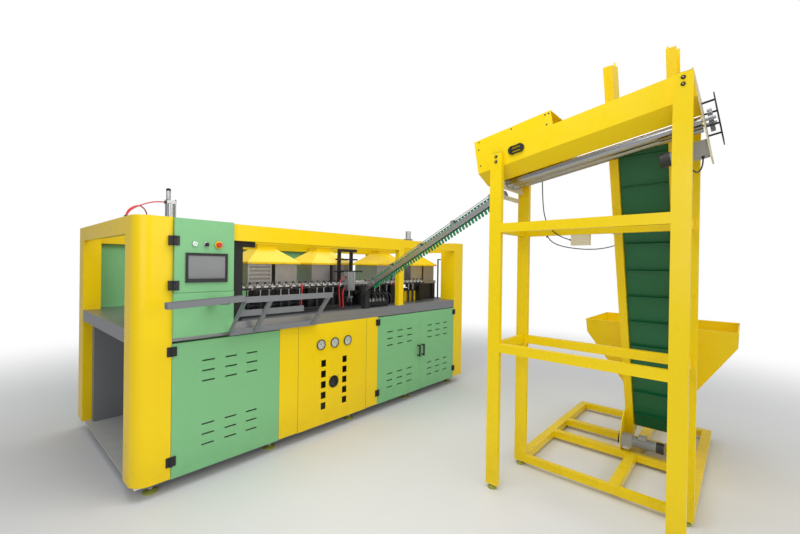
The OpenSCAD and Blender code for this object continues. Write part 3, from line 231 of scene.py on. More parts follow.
RED_PLASTIC = plastic("red_plastic", (0.62, 0.012, 0.01), 0.25, bump=0.03)
BELT = plastic("belt_rubber", (0.003, 0.125, 0.045), 0.42, 120, 0.2, dust=0.05)
FOOT_RUBBER = plastic("foot_rubber", (0.30, 0.33, 0.05), 0.7, 120, 0.4)
RED_HOSE = plastic("red_hose", (0.62, 0.012, 0.02), 0.28, bump=0.02)
BLACK_HOSE = plastic("black_hose", (0.014, 0.014, 0.015), 0.4, bump=0.05)
BRONZE = metal("bronze_rim", (0.10, 0.075, 0.05), 0.35, (1, 1, 1), 0.2)
DIAL = plastic("dial_card", (0.72, 0.73, 0.70), 0.5, bump=0.02)
GLASS = plastic("gauge_glass", (0.95, 0.97, 0.97), 0.05, bump=0.0, Transmission_Weight=0.95, IOR=1.12)
WHITE_PLASTIC = plastic("white_plastic", (0.74, 0.75, 0.74), 0.35, bump=0.05)
YELLOW_PLASTIC = plastic("yellow_plastic", (0.82, 0.56, 0.01), 0.35, bump=0.05)
QUARTZ = plastic("quartz_lamp", (0.80, 0.74, 0.68), 0.15, bump=0.0, Transmission_Weight=0.3)
CHROME = metal("chrome_ring", (0.72, 0.73, 0.74), 0.12, (1, 1, 1), 0.06)
PREFORM = plastic("clear_green", (0.012, 0.36, 0.17), 0.12, bump=0.0, Transmission_Weight=0.55, IOR=1.5)


# Height of the worktop in metres, just past its face
WORKTOP_M = 1.2151


def support_steel():
    """Edge bands in worktop grey, with the inner legs above the worktop blackened."""
    s = Shader("support_steel", 0.4, 0.85)
    sep = s.node("ShaderNodeSeparateXYZ")
    s.link(s.coord.outputs["Object"], sep.inputs[0])
    above = s.math("GREATER_THAN", sep.outputs["Z"], WORKTOP_M)
    lines = s.noise(90, 3, 0.6, (0.05, 1, 1))
    grey = s.mix(s.spread(lines, 0.0, 0.3), WORKTOP_GREY, (0.22, 0.22, 0.24))
    s.color(s.mix(above, grey, (0.035, 0.035, 0.038)))
    s.roughness(s.spread(lines, 0.3, 0.52))
    s.bump(lines, 0.1, 0.0006)
    return s.mat


SUPPORT = support_steel()

LOOKS = {
    YELLOW: "front_columns rear_columns front_strips valve_panel top_beams oven_hoods",
    YELLOW_FEEDER: "feeder_posts feeder_rails_x feeder_rails_y trough elevator_sides hopper",
    GREEN: "fixed_panels lower_door double_door_left double_door_right control_box control_door",
    GREY: "base_long_rails base_cross_rails inner_cabinet outfeed_tray",
    BAND: "deck",
    SUPPORT: "deck_supports",
    WHITE: "base_plate",
    BEIGE: "feeder_fittings",
    BLACK: "hinge_halves lower_door_leaves double_left_fittings double_right_fittings "
           "loading_frame drive_guard",
    STEEL: "conveyor gauges stretch_carriage",
    STEEL_TURNED: "roller_near roller_far drum_upper drum_lower",
    OVEN: "ovens",
    IRON: "clamp_frame",
    ALUMINIUM: "mould_front mould_rear air_cylinders loading_gripper chute",
    MOTOR: "gear_motors",
    BLACK_PLASTIC: "control_door_fittings selector_switch fan_housing",
    GREY_PLASTIC: "fan_rotor",
    SCREEN: "hmi_screen",
    LAMP: "start_button",
    RED_PLASTIC: "emergency_stop",
    BELT: "elevator_belt",
    FOOT_RUBBER: "levelling_feet",
    PREFORM: "preforms",
    RED_HOSE: "red_hoses",
    BLACK_HOSE: "black_hoses feeder_cable",
}


def wear(obj, mat):
    """The node gets this material only."""
    obj.data.materials.clear()
    obj.data.materials.append(mat)


for mat, names in LOOKS.items():
    for name in names.split():
        wear(nodes[name], mat)

# Building helpers


def piece(name, mesh, mat, body, smooth=True):
    """A mesh becomes a piece of the object that rides on a body."""
    obj = bpy.data.objects.new(name, mesh)
    bpy.context.scene.collection.objects.link(obj)
    mesh.materials.append(mat)
    if smooth:
        mesh.shade_smooth()
        mesh.set_sharp_from_angle(angle=math.radians(32))
    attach(obj, body)


class Solid:
    """Collects simple closed shapes in one mesh, in millimetres from the cabinet corner.

    Turned shapes go in before boxes: faces made after a bevel come in another order each run.
    """

    def __init__(self):
        self.bm = bmesh.new()

    def box(self, lo, hi, bevel):
        """A block from the low to the high corner, its edges rounded by the bevel."""
        lo, hi = at(*lo), at(*hi)
        made = bmesh.ops.create_cube(self.bm, size=1.0)["verts"]
        for v in made:
            v.co = Vector([lo[i] + (v.co[i] + 0.5) * (hi[i] - lo[i]) for i in range(3)])
        edges = list({e for v in made for e in v.link_edges})
        bmesh.ops.bevel(self.bm, geom=edges, offset=bevel / 1000, segments=2, affect="EDGES", profile=0.6)

    def lathe(self, base, axis, profile, n=32, closed=False):
        """Turns (distance along the axis, radius) pairs in millimetres; a closed profile makes a ring."""
        axis = Vector(axis).normalized()
        side = axis.orthogonal().normalized()
        other = axis.cross(side)
        base = at(*base)
        rings = []
        for d, r in profile:
            ring = []
            for k in range(n):
                a = 2 * math.pi * k / n
                radial = side * math.cos(a) + other * math.sin(a)
                ring.append(self.bm.verts.new(base + axis * d / 1000 + radial * r / 1000))
            rings.append(ring)
        follow = rings[1:] + rings[:1] if closed else rings[1:]
        for a, b in zip(rings, follow):
            for k in range(n):
                j = (k + 1) % n
                self.bm.faces.new((a[k], a[j], b[j], b[k]))
        if not closed:
            self.bm.faces.new(list(reversed(rings[0])))
            self.bm.faces.new(rings[-1])

    def prism(self, low, high):
        """A closed solid between two outlines with the same number of points."""
        a = [self.bm.verts.new(at(*p)) for p in low]
        b = [self.bm.verts.new(at(*p)) for p in high]
        self.bm.faces.new(list(reversed(a)))
        self.bm.faces.new(b)
        for i in range(len(a)):
            j = (i + 1) % len(a)
            self.bm.faces.new((a[i], a[j], b[j], b[i]))

    def mesh(self, name):
        """The finished mesh, with its faces outward."""
        bmesh.ops.recalc_face_normals(self.bm, faces=self.bm.faces)
        m = bpy.data.meshes.new(name)
        self.bm.to_mesh(m)
        self.bm.free()
        return m


# Places taken from the CAD source, in millimetres
X_DOOR, DOOR_FACE = 238, -30
BUTTON_X = [X_DOOR + 140, X_DOOR + 224, X_DOOR + 314]
BUTTON_Z, STOP_R = 1839, 20
SCREEN_X, SCREEN_Z, SCREEN_W, SCREEN_H = X_DOOR + 230.5, 1661, 309, 223
VALVE_EDGES, PANEL_Z = (1315, 2189), (113, 1108)
GAUGE_X = [1740.6 + k * 170 for k in (-1, 0, 1)]
GAUGE_Z, GAUGE_R = 905, 50
HOOD_X = [1290, 2019, 3024, 3700]
HOOD_YC, HOOD_Z0, HOOD_W, HOOD_D, VENT_TOP = 630, 1695, 580, 500, 1900
OVEN_DX, LAMP_LEN = 145, 206
DECK_Z, TABLE_Z = 1215, 1480
CONV_Y, CONV_Z, CONV_START, CONV_END = 270, 1450, 704, 3556
CARRIER_X = [740 + 76 * k for k in range(37)]
STATION_X = (2046, 2304)
TABLE_BAYS = [(1110.4, 2329.6), (2410.4, 2639.6), (2720.4, 3199.6), (3430.4, 3884.6)]
CLAMP_X, CLAMP_Y, BRIDGE_Z = 410, 610, 1850
BANK_Y, BANK_Z = 70, 1275
VALVE_X = [2312 + 58 * k for k in range(5)]
CABINET_FEET = [(150 + k * 955, y) for k in range(5) for y in (140, 1810)]
BASE_FEET = [(3515, -1700), (3515, -2405), (4175, -2405), (4175, -2842.5)]
POST_X, POST_ROWS = (1945, 2446), [(-1687.5, 2570), (-2842.5, 2815)]
CHUTE_X, TROUGH_Y, TROUGH_Z, TROUGH_HW = 2195.5, -2360, 2492, 230.5
TROUGH_TILT = math.radians(9.7)
ELEV_Y, BELT_GAP, ELEV_BACK = -2538, 162, 90.3
DRUM_LOW, DRUM_HIGH = Vector((3400, 0, 300)), Vector((2543, 0, 2890))
HOPPER_X, HOPPER_HW, HOPPER_RIM = (3196, 3950), 549, 1215

# Operator panel on the control door


def screen_bezel():
    """Raised lip round the screen surround, and a thin inner lip round the glass."""
    s = Solid()
    for inset, sill, head, depth, bar in ((0, 0, 0, 3.2, 7), (13, 24, 17, 2.0, 4)):
        x0, x1 = SCREEN_X - SCREEN_W / 2 + inset, SCREEN_X + SCREEN_W / 2 - inset
        z0, z1 = SCREEN_Z - SCREEN_H / 2 + sill, SCREEN_Z + SCREEN_H / 2 - head
        y0, y1 = DOOR_FACE - 9 - depth, DOOR_FACE - 8.5
        s.box((x0, y0, z0), (x0 + bar, y1, z1), 1.4)
        s.box((x1 - bar, y0, z0), (x1, y1, z1), 1.4)
        s.box((x0 + bar, y0, z0), (x1 - bar, y1, z0 + bar), 1.4)
        s.box((x0 + bar, y0, z1 - bar), (x1 - bar, y1, z1), 1.4)
    return s.mesh("screen_bezel")


piece("screen_bezel", screen_bezel(), BLACK_PLASTIC, "control_door")


def button_rings():
    """Polished rings round the start button and the selector."""
    s = Solid()
    for x, inner, outer in ((BUTTON_X[0], 14.6, 18.5), (BUTTON_X[1], 7.0, 18.5)):
        s.lathe((x, DOOR_FACE - 6, BUTTON_Z), (0, -1, 0),
                [(0, inner), (0, outer), (2.2, outer), (3.6, outer - 1.6), (3.6, inner)], 40, closed=True)
    return s.mesh("button_rings")


piece("button_rings", button_rings(), CHROME, "control_door")


def stop_plate():
    """Yellow disc behind the emergency stop head, thin where the pressed head comes."""
    s = Solid()
    s.lathe((BUTTON_X[2], DOOR_FACE - 6, BUTTON_Z), (0, -1, 0),
            [(0, 11.6), (0, 29.5), (1.4, 29.5), (2.4, 28.4),
             (2.4, STOP_R + 1.5), (0.7, STOP_R + 0.7), (0.7, 11.6)], 48, closed=True)
    return s.mesh("stop_plate")


piece("stop_plate", stop_plate(), YELLOW_PLASTIC, "control_door")


def stop_ridge():
    """Raised ring on the emergency stop head."""
    s = Solid()
    s.lathe((BUTTON_X[2], DOOR_FACE - 28, BUTTON_Z), (0, -1, 0),
            [(0, 12), (0, 15.5), (1.0, 15.0), (1.4, 13.5), (1.0, 12)], 40, closed=True)
    return s.mesh("stop_ridge")


piece("stop_ridge", stop_ridge(), RED_PLASTIC, "emergency_stop")

# Painted shade: dark strips in the joints beside the valve panel, where the narrow gaps fall in shadow


def painted_shadow_gaps():
    """Thin dark strips that paint the shade in the two joint gaps between the valve panel and the fixed
    strips.
    """
    s = Solid()
    for x in VALVE_EDGES:
        s.box((x - 1.6, -0.5, PANEL_Z[0]), (x + 1.6, 0.4, PANEL_Z[1]), 0.2)
    return s.mesh("painted_shadow_gaps")


# The black strips are painted shadow in the joint gaps, not real seals
piece("painted_shadow_gaps", painted_shadow_gaps(), BLACK_PLASTIC, "machine", smooth=False)

# Pressure gauges


def gauge_rims():
    """Bronze rims round the gauge cases."""
    s = Solid()
    for x in GAUGE_X:
        s.lathe((x, -8, GAUGE_Z), (0, -1, 0),
                [(0, GAUGE_R), (0, GAUGE_R + 2.5), (4.5, GAUGE_R + 2.5), (7, GAUGE_R - 0.5),
                 (6.4, GAUGE_R - 5.5), (4.2, GAUGE_R - 5.5), (4.2, GAUGE_R)], 56, closed=True)
    return s.mesh("gauge_rims")


def gauge_dials():
    """Pale dial cards behind the needles."""
    s = Solid()
    for x in GAUGE_X:
        s.lathe((x, -1.9, GAUGE_Z), (0, -1, 0), [(0, GAUGE_R - 6.2), (0.7, GAUGE_R - 6.2)], 48)
    return s.mesh("gauge_dials")


def gauge_ticks():
    """Scale strokes from lower left over the top to lower right, every fifth one longer."""
    s = Solid()
    for x in GAUGE_X:
        for k in range(26):
            turn = math.radians(225 - k * 270 / 25)
            reach = 9 if k % 5 == 0 else 5
            wide = 0.9 if k % 5 == 0 else 0.5
            along = Vector((math.cos(turn), 0, math.sin(turn)))
            across = Vector((-math.sin(turn), 0, math.cos(turn)))
            c = Vector((x, 0, GAUGE_Z))
            corners = [c + along * r + across * w for r, w in
                       ((41, -wide), (41, wide), (41 - reach, wide), (41 - reach, -wide))]
            s.prism([(p.x, -2.4, p.z) for p in corners], [(p.x, -2.9, p.z) for p in corners])
    return s.mesh("gauge_ticks")


def gauge_hubs():
    """Dark hub caps over the middle of the CAD needles."""
    s = Solid()
    for x in GAUGE_X:
        s.lathe((x, -5.9, GAUGE_Z), (0, -1, 0), [(0, 5), (1.0, 5), (1.8, 3.5), (1.8, 0.5)], 24)
    return s.mesh("gauge_hubs")


def gauge_glasses():
    """Flat glasses inside the rims."""
    s = Solid()
    for x in GAUGE_X:
        s.lathe((x, -9.6, GAUGE_Z), (0, -1, 0), [(0, GAUGE_R - 5.8), (1.2, GAUGE_R - 5.8)], 48)
    return s.mesh("gauge_glasses")


piece("gauge_rims", gauge_rims(), BRONZE, "machine")
piece("gauge_dials", gauge_dials(), DIAL, "machine")
piece("gauge_ticks", gauge_ticks(), BLACK_PLASTIC, "machine", smooth=False)
piece("gauge_hubs", gauge_hubs(), BLACK_PLASTIC, "machine")
piece("gauge_glasses", gauge_glasses(), GLASS, "machine")

# Conveyor carriers


def carrier_caps():
    """Black mandrel caps on the carriers."""
    s = Solid()
    for x in CARRIER_X:
        s.lathe((x, CONV_Y + 6, CONV_Z + 54), (0, 0, 1),
                [(0, 11.6), (1, 13), (8, 13), (9, 10.5), (20, 9.5), (22, 7.5), (22, 0.5)], 20)
    return s.mesh("carrier_caps")


def carrier_blocks():
    """Pale guide blocks between the carriers and the rail."""
    s = Solid()
    for x in CARRIER_X:
        s.box((x - 17, CONV_Y + 28, CONV_Z + 38), (x + 17, CONV_Y + 35, CONV_Z + 50), 1.2)
        s.box((x - 21, CONV_Y - 13.5, CONV_Z + 26), (x + 21, CONV_Y - 12, CONV_Z + 34), 0.5)
    return s.mesh("carrier_blocks")


piece("carrier_caps", carrier_caps(), BLACK_PLASTIC, "machine")
piece("carrier_blocks", carrier_blocks(), WHITE_PLASTIC, "machine")


def rail_bolts():
    """Hexagon bolts along the front face of the chain rail."""
    s = Solid()
    for k in range(14):
        s.lathe((780 + 208 * k, CONV_Y - 4, CONV_Z + 11), (0, -1, 0),
                [(0, 8.5), (1.2, 8.5), (1.3, 6.5), (5.5, 6.5), (6.2, 5.4), (6.2, 0.5)], 6)
    return s.mesh("rail_bolts")


piece("rail_bolts", rail_bolts(), STEEL, "machine", smooth=False)


def chain_guard():
    """Black guard strips on the front of the chain rail and the brackets under it."""
    s = Solid()
    for k in range(11):
        x0 = CONV_START + 260 * k
        s.box((x0, CONV_Y - 4, CONV_Z + 0.5), (min(x0 + 257, CONV_END), CONV_Y, CONV_Z + 21.5), 1.2)
    for k in range(13):
        x0 = 800 + 216 * k
        s.box((x0, CONV_Y + 4, CONV_Z - 9), (x0 + 34, CONV_Y + 56, CONV_Z), 1.2)
        s.box((x0 + 13, CONV_Y + 8, CONV_Z - 44), (x0 + 21, CONV_Y + 40, CONV_Z - 9), 1.2)
    return s.mesh("chain_guard")


def chain_links():
    """Roller chain under the carriers: pins between paired link plates."""
    s = Solid()
    z = CONV_Z + 23
    pins = [712 + 19 * k for k in range(150)]
    for x in pins:
        s.lathe((x, CONV_Y + 44, z), (0, 0, 1), [(0, 4.5), (10, 4.5), (11, 3.5), (11, 0.5)], 10)
    for x in pins[::2]:
        s.box((x - 5, CONV_Y + 39.5, z + 2), (x + 24, CONV_Y + 48.5, z + 4), 0.6)
    return s.mesh("chain_links")


piece("chain_guard", chain_guard(), DARK_STEEL, "machine")
piece("chain_links", chain_links(), STEEL, "machine")


def wiring_duct():
    """Slotted wiring duct along the worktop under the chain rail."""
    s = Solid()
    y0, y1, z0, z1 = 150, 195, DECK_Z, DECK_Z + 42
    for x0, x1 in ((760, 1425), (1460, 1930)):
        s.box((x0, y0, z0), (x1, y1, z0 + 8), 0.8)
        s.box((x0, y0 - 1.5, z1), (x1, y1 + 1.5, z1 + 5), 1.2)
        count = int((x1 - x0 - 6) // 14)
        for k in range(count):
            x = x0 + 4 + 14 * k
            s.box((x, y0, z0 + 8), (x + 8, y0 + 2, z1), 0.3)
            s.box((x, y1 - 2, z0 + 8), (x + 8, y1, z1), 0.3)
    return s.mesh("wiring_duct")


def air_manifold():
    """Dark air pipe behind the chain legs with its couplings and saddles."""
    s = Solid()
    y, z = CONV_Y + 92, DECK_Z + 78
    profile = [(0, 10), (0.5, 17)]
    for k in range(7):
        d = 90 + 150 * k
        profile += [(d, 17), (d, 22), (d + 34, 22), (d + 34, 17)]
    profile += [(1119, 17), (1120, 10)]
    s.lathe((790, y, z), (1, 0, 0), profile, 24)
    for k in range(6):
        x = 860 + 180 * k
        s.box((x, y - 16, DECK_Z), (x + 16, y + 16, z - 12), 1.5)
    return s.mesh("air_manifold")


piece("wiring_duct", wiring_duct(), BLACK_PLASTIC, "machine", smooth=False)
piece("air_manifold", air_manifold(), DARK_STEEL, "machine")


def hose_trays():
    """Two black trays on the backs of the chain legs, left and right of the loading station."""
    s = Solid()
    y0, y1, z = CONV_Y + 60.4, CONV_Y + 104, DECK_Z + 139
    for x0, x1 in ((790, STATION_X[0]), (STATION_X[1], CONV_END)):
        s.box((x0, y0, z), (x1, y1, z + 3), 0.8)
        s.box((x0, y0, z + 3.2), (x1, y0 + 3, z + 38), 0.8)
        s.box((x0, y1 - 3, z + 3.2), (x1, y1, z + 38), 0.8)
        for k in range(int((x1 - x0) // 140)):
            x = x0 + 60 + 140 * k
            s.box((x, y0, z + 38.2), (x + 24, y1, z + 41), 0.8)
    return s.mesh("hose_trays")


# Clear of the chain legs, the guard brackets and the loading station
LIFT_X = [960, 1086, 1176, 1302, 1392, 1518, 1734, 1824, 1950]
LIFT_X += [2382, 2598, 2688, 2814, 3030, 3120, 3246, 3336]


def lift_cylinders():
    """Slim black cylinders that stand between the worktop and the chain rail."""
    s = Solid()
    for x in LIFT_X:
        s.lathe((x, CONV_Y + 30, DECK_Z), (0, 0, 1),
                [(0, 19), (6, 19), (7, 16), (26, 16), (27, 18), (34, 18), (35, 16),
                 (142, 16), (143, 18), (160, 18), (162, 9)], 24)
    return s.mesh("lift_cylinders")


def lift_rods():
    """Rods of the lift cylinders, with the heads that touch the rail."""
    s = Solid()
    for x in LIFT_X:
        s.lathe((x, CONV_Y + 30, DECK_Z + 162.2), (0, 0, 1),
                [(0, 6), (62, 6), (63, 12), (71, 12), (72, 10)], 20)
    return s.mesh("lift_rods")


def table_skirt():
    """Black plates under the front edge of the oven table, between its legs."""
    s = Solid()
    y, z0, z1 = 402, DECK_Z + 0.4, TABLE_Z - 40.4
    for x0, x1 in TABLE_BAYS:
        count = max(2, round((x1 - x0) / 160))
        for k in range(count):
            x = x0 + (k + 0.5) * (x1 - x0) / count
            s.lathe((x, y, z1 - 20), (0, -1, 0), [(0, 5.5), (1.6, 5.5), (2.6, 4), (2.6, 1.6)], 12)
    for x0, x1 in TABLE_BAYS:
        s.box((x0, y, z0), (x1, y + 3, z1), 0.8)
        s.box((x0, y - 14, z0), (x1, y - 0.2, z0 + 3), 0.8)
        s.box((x0, y - 9, z1 - 3), (x1, y - 0.2, z1), 0.8)
    return s.mesh("table_skirt")


piece("table_skirt", table_skirt(), DARK_STEEL, "machine", smooth=False)
piece("hose_trays", hose_trays(), DARK_STEEL, "machine", smooth=False)
piece("lift_cylinders", lift_cylinders(), DARK_STEEL, "machine")
piece("lift_rods", lift_rods(), STEEL, "machine")

# Ovens and their hoods


def oven_lamps():
    """Quartz tubes in the slots of each oven."""
    s = Solid()
    for i, c in enumerate(HOOD_X):
        for side in (-1, 1):
            x0 = c + side * OVEN_DX - LAMP_LEN / 2
            y = 431 if (i == 0 and side == -1) else 829
            for k in range(5):
                z = TABLE_Z + 0.3 + 31 + k * 38.75
                s.lathe((x0, y, z), (1, 0, 0),
                        [(0, 3.5), (8, 3.5), (9, 5),
                         (LAMP_LEN - 9, 5), (LAMP_LEN - 8, 3.5), (LAMP_LEN, 3.5)], 12)
    return s.mesh("oven_lamps")


piece("oven_lamps", oven_lamps(), QUARTZ, "machine")


def rim(s, x0, x1, y0, y1, z0, z1, out, bevel):
    """A flat rim round a rectangle, out wide."""
    s.box((x0 - out, y0 - out, z0), (x1 + out, y0, z1), bevel)
    s.box((x0 - out, y1, z0), (x1 + out, y1 + out, z1), bevel)
    s.box((x0 - out, y0, z0), (x0, y1, z1), bevel)
    s.box((x1, y0, z0), (x1 + out, y1, z1), bevel)


def hood_rims():
    """Folded rims at the vent mouth and along the lower edge of each hood."""
    s = Solid()
    for c in HOOD_X:
        rim(s, c - 105, c + 105, HOOD_YC - 80, HOOD_YC + 80, VENT_TOP - 10, VENT_TOP - 2, 7, 1.5)
        rim(s, c - HOOD_W / 2, c + HOOD_W / 2, HOOD_YC - HOOD_D / 2, HOOD_YC + HOOD_D / 2,
            HOOD_Z0 + 1, HOOD_Z0 + 6, 4, 1.0)
    return s.mesh("hood_rims")


def hood_screws():
    """Screw heads along the front edge of each hood."""
    s = Solid()
    for c in HOOD_X:
        for dx in (-260, -90, 90, 260):
            s.lathe((c + dx, HOOD_YC - HOOD_D / 2, HOOD_Z0 + 12), (0, -1, 0),
                    [(0, 5.5), (1.6, 5.2), (2.8, 3.4), (3.2, 0.5)], 14)
    return s.mesh("hood_screws")


piece("hood_rims", hood_rims(), YELLOW, "machine", smooth=False)
piece("hood_screws", hood_screws(), STEEL, "machine")

# Clamp and air cylinders


def cylinder_rods():
    """Tie rods of the tall cylinder and their nuts."""
    s = Solid()
    base = BRIDGE_Z + 20
    for sx in (-1, 1):
        for sy in (-1, 1):
            x, y = CLAMP_X + sx * 30, CLAMP_Y + sy * 30
            s.lathe((x, y, base + 24), (0, 0, 1), [(0, 4), (312, 4)], 12)
            s.lathe((x, y, base + 360), (0, 0, 1),
                    [(0, 7.5), (6, 7.5), (7, 6.5), (7, 4), (12, 4), (12, 0.5)], 6)
    return s.mesh("cylinder_rods")


def cylinder_cap():
    """Ribbed black silencer on top of the tall cylinder."""
    s = Solid()
    profile = [(0, 15)]
    for k in range(6):
        profile += [(1 + 3 * k, 18.6), (2.4 + 3 * k, 18.6), (3 + 3 * k, 16.4)]
    profile += [(20, 15), (24, 11), (25, 0.5)]
    s.lathe((CLAMP_X - 20, CLAMP_Y - 10, BRIDGE_Z + 462), (0, 0, 1), profile, 32)
    return s.mesh("cylinder_cap")


piece("cylinder_rods", cylinder_rods(), STEEL_TURNED, "machine")
piece("cylinder_cap", cylinder_cap(), BLACK_PLASTIC, "machine")


def clamp_bolts():
    """Hexagon nuts on the ends of the tie bars."""
    s = Solid()
    for x in (CLAMP_X - 170, CLAMP_X + 170):
        for z in (DECK_Z + 60, DECK_Z + 340):
            for sy in (-1, 1):
                s.lathe((x, CLAMP_Y + sy * 320, z), (0, sy, 0),
                        [(0, 30), (14, 30), (16, 27), (16, 17), (22, 16), (22, 0.5)], 6)
    return s.mesh("clamp_bolts")


piece("clamp_bolts", clamp_bolts(), STEEL, "machine", smooth=False)


def valve_blocks():
    """One valve body under each black hose, with its solenoid."""
    s = Solid()
    for x in VALVE_X:
        s.box((x - 19, BANK_Y + 8, BANK_Z), (x + 19, BANK_Y + 54, BANK_Z + 22), 2)
        s.box((x - 12, BANK_Y + 12, BANK_Z + 22), (x + 12, BANK_Y + 28, BANK_Z + 40), 2)
    return s.mesh("valve_blocks")


piece("valve_blocks", valve_blocks(), ALUMINIUM, "machine")

# Feet, elevator and hopper


def foot_nuts():
    """Lock nuts on the stems of the levelling feet."""
    s = Solid()
    for x, y in CABINET_FEET:
        s.lathe((x, y, 27), (0, 0, 1), [(0, 21), (1, 22), (14, 22), (15, 21), (15, 12.5)], 6)
    for x, y in [(x, y) for x in POST_X for y, top in POST_ROWS] + BASE_FEET:
        s.lathe((x, y, 21.5), (0, 0, 1), [(0, 14), (0.6, 15), (6.6, 15), (7.2, 14), (7.2, 8.4)], 6)
    return s.mesh("foot_nuts")


piece("foot_nuts", foot_nuts(), STEEL, "machine", smooth=False)


def bearing_caps():
    """Flanged bearing caps with four bolts at the ends of both drums."""
    s = Solid()
    for drum in (DRUM_LOW, DRUM_HIGH):
        for side in (-1, 1):
            y = ELEV_Y + side * (BELT_GAP + 20)
            s.lathe((drum.x, y, drum.z), (0, side, 0),
                    [(0, 32), (5, 32), (6.5, 30), (6.5, 19), (12, 17), (13, 14), (13, 0.5)], 40)
            for k in range(4):
                a = math.radians(45 + 90 * k)
                s.lathe((drum.x + 25 * math.cos(a), y + side * 6.5, drum.z + 25 * math.sin(a)), (0, side, 0),
                        [(0, 4), (3.2, 4), (3.6, 3.4), (3.6, 0.5)], 6)
    return s.mesh("bearing_caps")


piece("bearing_caps", bearing_caps(), STEEL, "machine")


def hopper_hem():
    """Folded hem round the free rim of the hopper."""
    y0, y1 = ELEV_Y - HOPPER_HW, ELEV_Y + HOPPER_HW
    z0, z1 = HOPPER_RIM - 14, HOPPER_RIM + 1.5
    x0, x1 = HOPPER_X
    s = Solid()
    s.box((x0, y0 - 4, z0), (x1 + 4, y0 + 5, z1), 1.6)
    s.box((x0, y1 - 5, z0), (x1 + 4, y1 + 4, z1), 1.6)
    s.box((x1 - 5, y0 + 5, z0), (x1 + 4, y1 - 5, z1), 1.6)
    return s.mesh("hopper_hem")


piece("hopper_hem", hopper_hem(), YELLOW_FEEDER, "machine")

# The elevator leans from the lower to the upper drum
CLIMB = (DRUM_HIGH - DRUM_LOW).normalized()
BEHIND = Vector((CLIMB.z, 0, -CLIMB.x))


def back_plane(y, z, depth):
    """The point of the plane behind the elevator at that height, depth further back."""
    x = DRUM_LOW.x + (z - DRUM_LOW.z) * CLIMB.x / CLIMB.z + (ELEV_BACK + depth) / BEHIND.x
    return Vector((x, ELEV_Y + y, z))


def hopper_front():
    """Two front panels of the hopper on the elevator's back plane, one on each side of the belt."""
    s = Solid()
    inner, outer, top = 160, HOPPER_HW - 3.5, HOPPER_RIM - 3
    outline = [(inner, top), (outer, top), (outer, 1091), (219, 562), (219, 336), (inner, 336)]
    for side in (-1, 1):
        s.prism([back_plane(side * y, z, 0.4) for y, z in outline],
                [back_plane(side * y, z, 3.4) for y, z in outline])
        lip = [back_plane(side * y, top, depth) for y, depth in
               ((inner, 0.4), (outer, 0.4), (outer, 12), (inner, 12))]
        s.prism(lip, [p + Vector((0, 0, 3)) for p in lip])
    return s.mesh("hopper_front")


piece("hopper_front", hopper_front(), YELLOW_FEEDER, "machine", smooth=False)


def base_ends():
    """Base rails that carry on from the short left rail to the far end, with their corner foot."""
    s = Solid()
    s.lathe((4175, -1700, 0), (0, 0, 1), [(0, 32), (12, 32), (20, 15), (20, 8), (30, 8)], 32)
    s.box((3550.4, -1735, 30), (4140, -1665, 90), 2.5)
    s.box((4140, -2369.6, 30), (4210, -1665, 90), 2.5)
    return s.mesh("base_ends")


piece("base_ends", base_ends(), YELLOW_FEEDER, "machine")


def post_plugs():
    """Black end plugs in the open tops of the four posts."""
    s = Solid()
    for y, top in POST_ROWS:
        for x in POST_X:
            s.box((x - 17, y - 44, top - 2), (x + 17, y + 44, top + 3), 1.6)
    return s.mesh("post_plugs")


piece("post_plugs", post_plugs(), BLACK_PLASTIC, "machine")


def post_screws():
    """Dark screw heads near the tops of the outer posts."""
    s = Solid()
    for y, top in POST_ROWS:
        for drop in (30, 68):
            s.lathe((POST_X[0] - 20, y, top - drop), (-1, 0, 0),
                    [(0, 12.5), (1.5, 12.5), (1.6, 10.5), (6.2, 10.2),
                     (8.2, 8), (8.2, 4.5), (4.5, 4.5), (4.5, 0.5)], 20)
    return s.mesh("post_screws")


piece("post_screws", post_screws(), DARK_STEEL, "machine")

# Trough cover and motors


def tilted(x, y, z):
    """A point of the rollers' tilted frame, from the cabinet corner."""
    c, d = math.cos(TROUGH_TILT), math.sin(TROUGH_TILT)
    return (CHUTE_X + x, TROUGH_Y + y * c + z * d, TROUGH_Z - y * d + z * c)


def cover_rivets():
    """Blind rivets that hold the cover and the end plate to both trough walls."""
    s = Solid()
    for side in (-1, 1):
        for y, z in ((236, 340), (262, 340), (262, 268), (520, 340), (800, 340), (812, 282), (812, 150)):
            s.lathe(tilted(side * TROUGH_HW, y, z), (side, 0, 0),
                    [(0, 6), (1, 6), (2.4, 4), (2.9, 1.5)], 16)
    return s.mesh("cover_rivets")


piece("cover_rivets", cover_rivets(), DARK_STEEL, "machine")

# Start, direction and length of the roller motor and the elevator motor
MOTORS = [(tilted(-67, -476, -177), (0, math.cos(TROUGH_TILT), -math.sin(TROUGH_TILT)), 140),
          ((3155, -2407, 180), (0, -1, 0), 216)]


def motor_fins():
    """Cooling fins round both motor bodies."""
    s = Solid()
    for base, axis, length in MOTORS:
        a = Vector(axis)
        for k in range(int((length - 62) // 7)):
            s.lathe(tuple(Vector(base) + a * (6 + 7 * k)), axis,
                    [(0, 39), (0, 44), (2.4, 44), (2.4, 39)], 40, closed=True)
    return s.mesh("motor_fins")


def motor_cowls():
    """Black fan cowls with a ribbed inlet on the free motor ends."""
    s = Solid()
    for base, axis, length in MOTORS:
        place = tuple(Vector(base) + Vector(axis) * (length - 46))
        s.lathe(place, axis,
                [(0, 40.2), (0, 44.5), (50, 44.5), (57, 40), (57, 33), (54.5, 33), (54.5, 27),
                 (57, 27), (57, 21), (54.5, 21), (54.5, 15), (57, 15), (57, 0.5)], 40)
    return s.mesh("motor_cowls")


piece("motor_fins", motor_fins(), MOTOR, "machine")
piece("motor_cowls", motor_cowls(), BLACK_PLASTIC, "machine")

